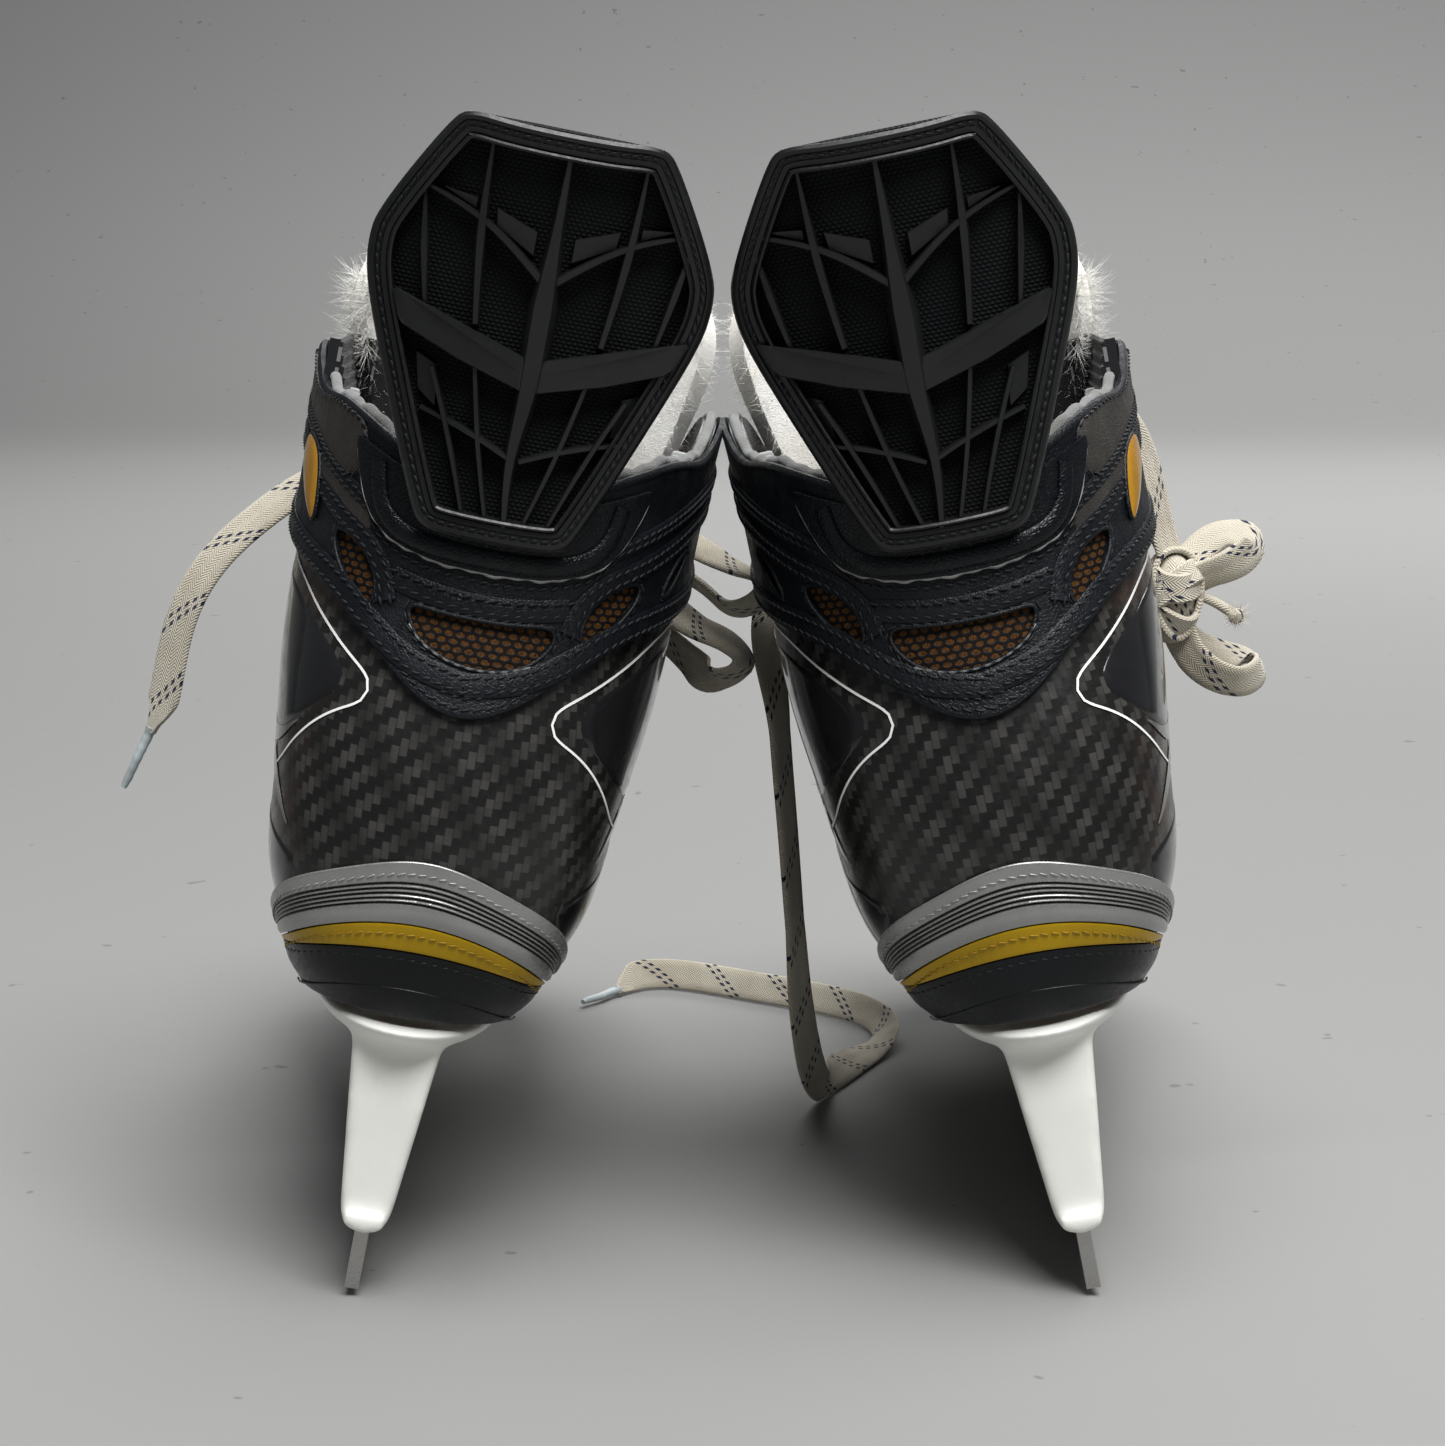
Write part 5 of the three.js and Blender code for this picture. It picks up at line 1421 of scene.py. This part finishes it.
def makeHolder():
    # the moulded holder, with soft edges and a bowl under the heel and the ball of the foot
    look = {"voxel": 0.75, "smooth": 46, "foot": 16.7}
    holder = nodeCopy("left_blade_holder", places["left"])
    bowls = []
    for y, z, size in ((41, 60.8, (21.5, 42, 9.6)), (168, 54.0, (26, 45, 5.0))):
        deselectAll()
        bpy.ops.mesh.primitive_uv_sphere_add(
            segments=64, ring_count=32, radius=1, location=(0, y, z), scale=size,
        )
        bpy.ops.object.transform_apply(location=True, rotation=False, scale=True)
        bpy.ops.object.mode_set(mode="EDIT")
        bpy.ops.mesh.select_all(action="SELECT")
        bpy.ops.mesh.bisect(plane_co=(0, y, z - 0.4), plane_no=(0, 0, 1), clear_outer=True, use_fill=True)
        bpy.ops.object.mode_set(mode="OBJECT")
        bowls.append(bpy.context.object)
    half = [(4.7 * math.cos(math.pi * k / 10), 2.3 * math.sin(math.pi * k / 10)) for k in range(11)]
    keel = sweep(
        "keel", [(0, y, look["foot"]) for y in (3, 80, 160, 236)], [(0, 0, -1)] * 4,
        [(-4.7, -2), *half[::-1], (4.7, -2)],
    )
    holder = joined("holder", [holder, keel, *bowls])
    pick(holder)
    holder.data.remesh_voxel_size = look["voxel"]
    bpy.ops.object.voxel_remesh()
    applyModifier(holder, "SMOOTH", factor=0.5, iterations=look["smooth"])
    flat = readPoints(holder)
    setUv(holder, flat[:, 1:])
    pair(smooth(holder, 60), "blade_holder", whiteNylon, replaced=["blade_holder"])


def finishNode(node, material):
    obj = frame["nodes"][node]
    obj.data.materials.clear()
    obj.data.materials.append(material)


makeHolder()
for side in places:
    finishNode(f"{side}_runner", groundSteel)
    for name in (
        "rear_runner_bolt", "front_runner_bolt", "heel_outer_rivet", "heel_inner_rivet", "toe_outer_rivet",
        "toe_inner_rivet",
    ):
        finishNode(f"{side}_{name}", boltSteel)
print("holder")


def makeToeCap():
    arches = np.array(
        [(194, 105), (203, 104.5), (213, 101.5), (222, 96), (229, 88), (234, 78.5), (236.8, 70), (238, 62.8)],
        float,
    )
    obj, share = grid("cap", (72, 60))
    place = spline(range(8), arches, share[:, 1] * 7)
    y, top = place[:, 0], place[:, 1]
    w = soleHalfWidth(np.minimum(y, 237.99)) + 4.2 * np.sqrt(np.clip(1 - (y - 194) / 46, 0, 1))
    foot = np.minimum(soleBottom(y) + 4.35, top - 0.4)
    lean = 0.38 * (236.8 - y) / (236.8 - 194)
    a = np.pi * share[:, 0]
    z = foot + np.maximum(0.2, top - foot) * np.sin(a) ** 0.75
    writePoints(
        obj, np.stack([-np.sign(np.cos(a)) * w * np.abs(np.cos(a)) ** 0.8, y - lean * (z - foot), z], 1),
    )
    setUv(obj, np.stack([share[:, 0] * 120, y], 1))
    recalculate(obj)
    applyModifier(obj, "SOLIDIFY", thickness=2.4, offset=-1)
    smooth(obj, 50)
    recalculate(obj)
    pair(obj, "toe_cap", outsoleRubber, replaced=["toe_cap"])


def makeEyestays():
    stays, rings, seams = [], [], []
    for side in (-1, 1):
        span = (0.54, 0.985) if side > 0 else (-0.985, -0.54)
        stays.append(skinPatch("stay", span, level(0.8), level(0.995), 2.5, 1.8, (120, 14), 0.4))
        for share in np.linspace(0, 1, 9):
            t = side * (0.57 + share * 0.38)
            centre, normal = onBoot(t, 0.9, 2.55)[0], skinNormal(np.array([t]), np.array([0.9]))[0]
            turnTo = Vector(normal).to_track_quat("Z", "Y").to_euler()
            deselectAll()
            bpy.ops.mesh.primitive_torus_add(
                major_segments=24, minor_segments=10, major_radius=2.6, minor_radius=0.75, location=centre,
                rotation=turnTo,
            )
            bpy.ops.object.transform_apply(location=True, rotation=True, scale=True)
            rings.append(bpy.context.object)
        t = np.linspace(span[0] + 0.01, span[1] - 0.01, 160)
        for v in (0.822, 0.975):
            seams.append((onBoot(t, np.full(160, v), 2.6), skinNormal(t, np.full(160, v))))
    pair(
        joined("eyestays", stays), "eyestays", blackLeather, replaced=["outer_eyestay", "inner_eyestay"],
    )
    pair(joined("eyelets", rings), "eyelets", boltSteel)
    pair(stitches("seams", seams, 2.5, 2.0, 0.26), "eyestay_stitches", blackThread)


def makeFootbed():
    bed = solePlate("footbed", (16, toeTip - 14), 10.2, 4.4, 7.9, 1.0, (24, 90))
    for piece in pair(bed, "footbed", foam, replaced=["footbed"]):
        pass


makeToeCap()
makeEyestays()
makeFootbed()
print("toe cap and eyestays")


laceLook = {"width": 8.6, "thick": 1.3}


def laceSection(width=laceLook["width"], thick=laceLook["thick"]):
    half, up = width / 2, thick / 2
    side = [-half, -half + 0.45, -half / 2, 0, half / 2, half - 0.45, half]
    top = [(s, up * (0.25 if abs(s) == half else 1)) for s in side]
    return top[::-1] + [(s, -up * (0.25 if abs(s) == half else 1)) for s in side]


def ribbon(name, route, facings, section, count=None, ends=1.0):
    # facings are (share of the length, direction that the flat side faces)
    rough = smoothLine(route, 400)
    total = np.linalg.norm(np.diff(rough, axis=0), axis=1).sum()
    count = count or max(24, int(total / 1.1))
    line = smoothLine(route, count)
    shares = np.linspace(0, 1, count)
    keys = [share for share, _ in facings]
    facing = np.stack(
        [np.interp(shares, keys, [direction[k] for _, direction in facings]) for k in range(3)], 1,
    )
    widths = np.interp((1 - shares) * total, [0, 2, 8, 9], [ends, ends + 0.04, 0.97, 1])
    folded = np.interp((1 - shares) * total, [0, 2, 8, 9], [1 + (1 - ends) * 0.8, 1.4 - 0.4 * ends, 1, 1])
    return sweep(name, line, facing, section, widths=widths, heights=folded), line, total


def makeCrossedLaces():
    # the straps pulled across the tongue, from one eyelet to the next on the other side
    straps = []
    turns = np.linspace(0.57, 0.95, 9)
    ahead = np.array([0, 1, 0.5]) / math.hypot(1, 0.5)
    for start in (1, -1):
        for i in range(8):
            side = start if i % 2 == 0 else -start
            a, b = side * turns[i], -side * turns[i + 1]
            lift = 1.2 if start > 0 else 3.4
            route, facing = [], []
            for t, raise_ in ((a, lift), (b, lift * 0.6)):
                normal = skinNormal(np.array([t]), np.array([0.9]))[0]
                hole = onBoot(t, 0.9, 3.4 + raise_)[0]
                edge = onBoot(t, 1.0, 3.2 + raise_)[0]
                route.append([hole, edge])
                facing.append(normal)
            middle = (route[0][1] + route[1][1]) / 2
            heights = [z for _, z, _, _ in tongueStations]
            tongueY = np.interp(middle[2], heights, [y for y, _, _, _ in tongueStations])
            middle[1] = max(middle[1], tongueY) + 1.5
            middle += ahead * lift
            points = [route[0][0], route[0][1], middle, route[1][1], route[1][0]]
            obj, _, _ = ribbon(
                "strap", points, [(0, facing[0]), (0.5, ahead), (1, facing[1])], laceSection(7.2, 1.1), 44,
            )
            straps.append(obj)
    pair(
        joined("crossed", straps), "crossed_lace", laceCotton, replaced=["under_lace", "over_lace"],
    )


makeCrossedLaces()

leftKnot = {"centre": (-51, 11.8, 165.3), "size": (7, 5.5, 6.5)}
leftLoops = [
    [(-48, 11, 166), (-38, 17, 163), (-28, 19, 157), (-16, 15, 151), (-4, 4, 145), (5, -6, 141.5),
     (10, -11, 138),
     (6, -10, 134), (-4, 0, 136.5), (-16, 11, 142.5), (-28, 16, 149.5), (-38, 16, 157), (-48, 11, 163)],
    [(-48, 12, 161), (-38, 19, 154), (-27, 20, 143), (-16, 11, 134), (-5, -4, 127.5), (3, -11, 124),
     (5, -13, 121),
     (1, -12, 117.5), (-8, -3, 120), (-17, 9, 126.5), (-27, 20, 136), (-38, 20, 147), (-48, 13, 160)],
]
leftOuterEnd = [
    (-58.6, 12.3, 165.8), (-64, 13, 166), (-71, 12.5, 165.5), (-79, 12, 166), (-87, 9.5, 165.5),
    (-95, 6, 163), (-103, 2, 159), (-110, -1, 154), (-117, -3, 148), (-123, -4, 141), (-127.5, -4.5, 133),
    (-130.5, -4.5, 124), (-132.5, -4.5, 115), (-134.5, -4.5, 108), (-137, -4.5, 103),
]
leftInnerEnd = [
    (-51, 18.4, 164.6), (-52, 22, 160.5), (-53.5, 25, 153), (-55, 28, 145), (-57, 32, 137),
    (-59, 37.5, 130.5), (-61.5, 45, 126.5), (-64, 52.5, 122), (-66.5, 59, 118.3), (-69, 64, 113),
    (-72, 70.5, 109.8), (-75.5, 77, 108.2), (-79, 83.5, 107.6), (-83, 90, 107.2), (-87, 96, 106.2),
]
rightKnot = {"centre": (107.5, -2, 136), "size": (6, 6, 11)}
rightStub = [(110, -2, 136), (114, -2.3, 135.2), (118, -3.3, 133.5), (122, -5, 131)]
rightLoops = [
    [
        (110, 0, 142), (115, 2, 147), (122, 2, 150), (126.5, 0, 148), (123, -2, 144), (116, -3, 141),
        (110, -2, 138),
    ],
    [(108.5, 0, 131), (113, 4, 125), (119, 6, 121), (125, 5, 119.5), (129, 1, 118), (126, -3, 115.5),
     (119, -5, 116),
     (112, -4, 121), (108, -3, 129)],
]
rightLeads = [
    [(93.4, -8, 178.4), (98.5, -4, 171), (102.5, -2.5, 159), (106, -2, 146)],
    [(14.5, -0.5, 163), (26, 8, 168), (42, 13, 172), (58, 14, 176), (74, 11, 178.5), (86, 5, 177),
     (95, 1, 169),
     (101, 0.5, 157), (106, 0, 146)],
]
rightInnerEnd = [
    (101, 3, 140), (95, 7, 145), (86, 11, 150), (75, 14, 153.5), (63, 16, 154.5), (51, 16.5, 153),
    (39, 15.5, 151), (27, 13.5, 146.5), (17, 9, 139.5), (11.5, 1, 131), (11, -7, 121), (12.8, -10, 111),
    (14, -9.5, 99), (15, -8.5, 87), (16, -6.5, 75), (17, -4.5, 62), (18, -1, 49), (19, 4, 36),
    (20.5, 10, 24), (22.5, 18, 13), (25, 28, 5.5), (28, 40, 2.1), (33, 54, 1.9), (38, 67, 1.9),
    (43, 79, 1.9), (45, 90, 1.9), (42, 101, 1.9), (35, 110, 1.9), (26, 118, 1.9), (14, 126, 1.9),
    (2, 134, 1.9), (-10, 141, 1.9), (-18, 143, 1.9), (-26, 140, 1.9), (-31, 133, 1.9),
]


def toMetres(obj, name, material, nodes=()):
    obj.data.transform(Matrix.Scale(millimetre, 4))
    obj.name = name
    obj.data.materials.clear()
    obj.data.materials.append(material)
    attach(obj, "skates")
    if nodes:
        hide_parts(*nodes)
    return obj


def agletPiece(node, route):
    # the lace's twisted tip, hardened with a little plastic
    look = {"length": 16.5, "radius": 1.2}
    last, before = np.array(route[-1], float), np.array(route[-2], float)
    aim = unit(last - before)
    share = np.linspace(0, 1, 26)[:, None]
    sideways = unit(np.cross(aim, (0, 0, 1)))
    line = last - aim * 1.2 + aim * share * look["length"] + sideways * 0.25 * np.sin(share * 9)
    line[:, 2] = np.maximum(line[:, 2], look["radius"] + 0.1)
    size = np.interp(
        share[:, 0], [0, 0.1, 0.9, 1], [1.15, 1.0, 0.8, 0.55],
    ) * (1 + 0.05 * np.sin(share[:, 0] * 40))
    obj = sweep(
        node, line, np.tile((0, 0.2, 1.0), (26, 1)), roundSection(look["radius"], 12), widths=size,
        heights=size,
    )
    return toMetres(obj, node + "_tip", aglet, [node])


def looseLace(name, route, facings, node=None, aglets=()):
    section = laceSection()
    obj, line, total = ribbon(name, route, facings, section, ends=0.3 if aglets else 1.0)
    tips = [agletPiece(node, route) for node in aglets]
    rings = readPoints(obj).reshape(len(line), len(section), 3)
    rings[:, :, 2] += np.maximum(0, 0.35 - rings[:, :, 2].min(1))[:, None]
    writePoints(obj, rings.reshape(-1, 3))
    obj = toMetres(obj, name, laceCotton, [node] if node else ())
    return obj


def knotPiece(name, knot, wraps):
    # a core with flat lace wound round it
    centre, size = np.array(knot["centre"]), np.array(knot["size"])
    deselectAll()
    bpy.ops.mesh.primitive_uv_sphere_add(
        segments=40, ring_count=24, radius=1, location=tuple(centre), scale=tuple(size * 0.86),
    )
    bpy.ops.object.transform_apply(location=True, rotation=False, scale=True)
    core = bpy.context.object
    points = readPoints(core)
    setUv(core, np.stack([points[:, 2], points[:, 0]], 1))
    pieces = [core]
    for tilt, roll, share, width in wraps:
        angle = np.linspace(0, 2 * math.pi, 60, endpoint=False)
        turnBy = Matrix.Rotation(math.radians(roll), 3, "Z") @ Matrix.Rotation(math.radians(tilt), 3, "X")
        ringPoints = np.array([turnBy @ Vector((math.cos(a), math.sin(a), share)) for a in angle])
        outwards = np.array([turnBy @ Vector((math.cos(a), math.sin(a), share * 0.6)) for a in angle])
        line = centre + unit(ringPoints) * size * (0.98 + 0.05 * np.sin(3 * angle)[:, None])
        pieces.append(sweep("wrap", line, outwards, laceSection(width, 1.5), closed=True))
    return toMetres(smooth(joined(name, pieces), 60), name, laceCotton)


def makeLooseLaces():
    knot = knotPiece("left_knot", leftKnot, [(70, 0, 0.1, 6), (20, 40, 0.2, 6), (90, 80, 0, 6)])
    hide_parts("left_lace_bow")
    looseLace(
        "left_upper_loop", leftLoops[0],
        [
            (0, (0, -0.4, 1)), (0.35, (0.2, -0.6, 0.9)), (0.5, (1, -0.6, 0)), (0.6, (0.1, -0.8, -0.7)),
            (1, (0, -0.5, -1)),
        ],
        "left_lace_bow",
    )
    looseLace(
        "left_lower_loop", leftLoops[1],
        [
            (0, (0, -0.5, 1)), (0.35, (0.2, -0.9, 0.8)), (0.5, (1, -0.6, 0)), (0.6, (0.1, -1, -0.4)),
            (1, (0, -0.8, -0.8)),
        ],
        "left_lace_bow",
    )
    looseLace(
        "left_outer_end", leftOuterEnd,
        [(0, (0, -0.3, 1)), (0.2, (0.1, -0.8, 0.7)), (0.5, (-0.5, -1, 0.4)), (1, (-0.4, -1, 0.1))],
        "left_lace_outer_end", ["left_outer_aglet"],
    )
    looseLace(
        "left_inner_end", leftInnerEnd, [(0, (0, 1, 0.3)), (0.5, (0, 0.8, 0.8)), (1, (0, 0.3, 1))],
        "left_lace_inner_end", ["left_inner_aglet"],
    )
    looseLace("right_inner_end", rightInnerEnd, [
            (0, (0, -0.5, 1)), (0.12, (0, -0.6, 1)), (0.26, (0.3, -1, 0.3)), (0.33, (0.9, -0.55, 0)),
            (0.45, (0.93, -0.5, 0)), (0.5, (0.85, -0.75, 0)), (0.6, (0.35, -1, 0.15)),
            (0.66, (0.1, -1, 0.5)), (0.74, (-0.5, -0.5, 0.8)), (0.8, (-0.2, -0.9, 0.5)),
            (1, (0.1, -1, 0.35)),
        ], "right_lace_inner_end", ["right_inner_aglet"])
    knot = knotPiece(
        "right_knot", rightKnot,
        [(75, 10, 0.0, 7), (15, 0, 0.45, 7), (20, 30, -0.45, 7), (-25, 60, 0.1, 6)],
    )
    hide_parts("right_lace_bow")
    looseLace(
        "right_upper_loop", rightLoops[0],
        [
            (0, (0, -0.6, 1)), (0.35, (0.2, -0.8, 1)), (0.5, (1, -1, 0)), (0.65, (0, -1, -0.3)),
            (1, (0, -1, -0.8)),
        ],
        "right_lace_bow",
    )
    looseLace(
        "right_lower_loop", rightLoops[1],
        [
            (0, (0.8, -0.3, 0.5)), (0.3, (0.5, -0.7, 0.8)), (0.5, (1, -0.6, 0)), (0.65, (0, -1, -0.5)),
            (1, (-0.7, -1, -0.2)),
        ],
        "right_lace_bow",
    )
    looseLace(
        "right_outer_lead", rightLeads[0], [(0, (0.7, -0.7, 0)), (1, (0.7, -0.7, 0))], "right_lace_bow",
    )
    looseLace(
        "right_crossing_lead", rightLeads[1],
        [(0, (0, -0.7, 0.7)), (0.5, (0, -0.5, 0.9)), (1, (0.8, -0.6, 0.2))], "right_lace_bow",
    )
    stub, _, _ = ribbon("stub", rightStub, [(0, (0, -1, 0.4)), (1, (0, -1, 0.4))], roundSection(1.25, 10))
    deselectAll()
    bpy.ops.mesh.primitive_ico_sphere_add(subdivisions=3, radius=1.9, location=rightStub[-1])
    bpy.ops.object.transform_apply(location=True, rotation=False, scale=True)
    frayed = bpy.context.object
    points = readPoints(frayed)
    setUv(frayed, points[:, :2] + 5)
    tuft = fuzz("tuft", frayed, 260, 2.4, 0.06)
    setUv(tuft, readPoints(tuft)[:, :2] * 0 + 5)
    toMetres(joined("right_stub", [stub, frayed, tuft]), "right_stub", laceCotton, ["right_lace_bow"])


makeLooseLaces()
print("laces")


def makeStage():
    look = {
        "floor": (0.25, 0.25, 0.245), "paintedLightWall": (0.31, 0.31, 0.305), "back": 2.2, "radius": 1.4, "steep": 80,
        "width": 9, "length": 7.0, "near": 1.6,
    }
    deselectAll()
    bpy.ops.mesh.primitive_plane_add(size=1)
    sheet = bpy.context.object
    sheet.name = "floor"
    bpy.ops.object.mode_set(mode="EDIT")
    bpy.ops.mesh.subdivide(number_cuts=63)
    bpy.ops.object.mode_set(mode="OBJECT")
    flat = readPoints(sheet)
    run = (flat[:, 1] + 0.5) * look["length"] - look["near"]
    beyond = np.clip(run - look["back"], 0, None)
    steep = math.radians(look["steep"])
    angle = np.clip(beyond / look["radius"], 0, steep)
    rest = np.clip(beyond - look["radius"] * steep, 0, None)
    y = np.minimum(run, look["back"]) + look["radius"] * np.sin(angle) + rest * math.cos(steep)
    z = look["radius"] * (1 - np.cos(angle)) + rest * math.sin(steep)
    writePoints(sheet, np.stack([flat[:, 0] * look["width"], y, z - 0.0002], 1))
    smooth(sheet, 60)
    material, shader = newMaterial(
        "paper", {"Base Color": look["floor"], "Roughness": 0.85, "Specular IOR Level": 0.15},
    )
    place = objectPlace(material, 1.0)
    specks = ramp(material, noise(material, place, 70, 2.0, 0.6), 0.73, 0.742)
    broad = noise(material, place, 3.0, 4.0)
    floorTone = blendColour(material, broad, tuple(c * 0.96 for c in look["floor"]), look["floor"])
    depth = addNode(material, "SeparateXYZ", None, Vector=place).outputs["Y"]
    # painted light: the sweep of the same paper is coloured lighter than the floor
    base = blendColour(material, ramp(material, depth, 2.2, 3.0), floorTone, look["paintedLightWall"])
    drive(
        material, shader, "Base Color",
        blendColour(material, calc(material, "MULTIPLY", specks, 0.5), base, (0.1, 0.1, 0.1)),
    )
    bump(material, shader, noise(material, place, 900, 3.0, 0.7), 0.15, 0.0002)
    sheet.data.materials.append(material)


def makeLights():
    lamps = {
        "overhead": {"place": (0.1, -0.25, 1.7), "aim": (0, 0, 0.05), "size": (1.0, 0.8), "power": 30},
        "front": {"place": (0.35, -0.85, 1.4), "aim": (0, 0, 0.1), "size": (0.9, 0.6), "power": 25},
        "far": {"place": (0.7, 1.6, 1.2), "aim": (0.7, 1.8, 0), "size": (2.4, 1.0), "power": 44},
    }
    for name, values in lamps.items():
        data = bpy.data.lights.new(name, "AREA")
        data.shape = "RECTANGLE"
        data.size, data.size_y = values["size"]
        data.energy = values["power"]
        lamp = bpy.data.objects.new(name, data)
        lamp.location = values["place"]
        lamp.rotation_euler = (
            Vector(values["aim"]) - Vector(values["place"])
        ).to_track_quat("-Z", "Y").to_euler()
        bpy.context.scene.collection.objects.link(lamp)
    world = bpy.data.worlds.new("room")
    world.use_nodes = True
    world.node_tree.nodes["Background"].inputs[0].default_value = (0.9, 0.95, 1.0, 1)
    world.node_tree.nodes["Background"].inputs[1].default_value = 0.12
    bpy.context.scene.world = world
    bpy.context.scene.view_settings.view_transform = "Standard"


makeStage()
makeLights()
print("stage")
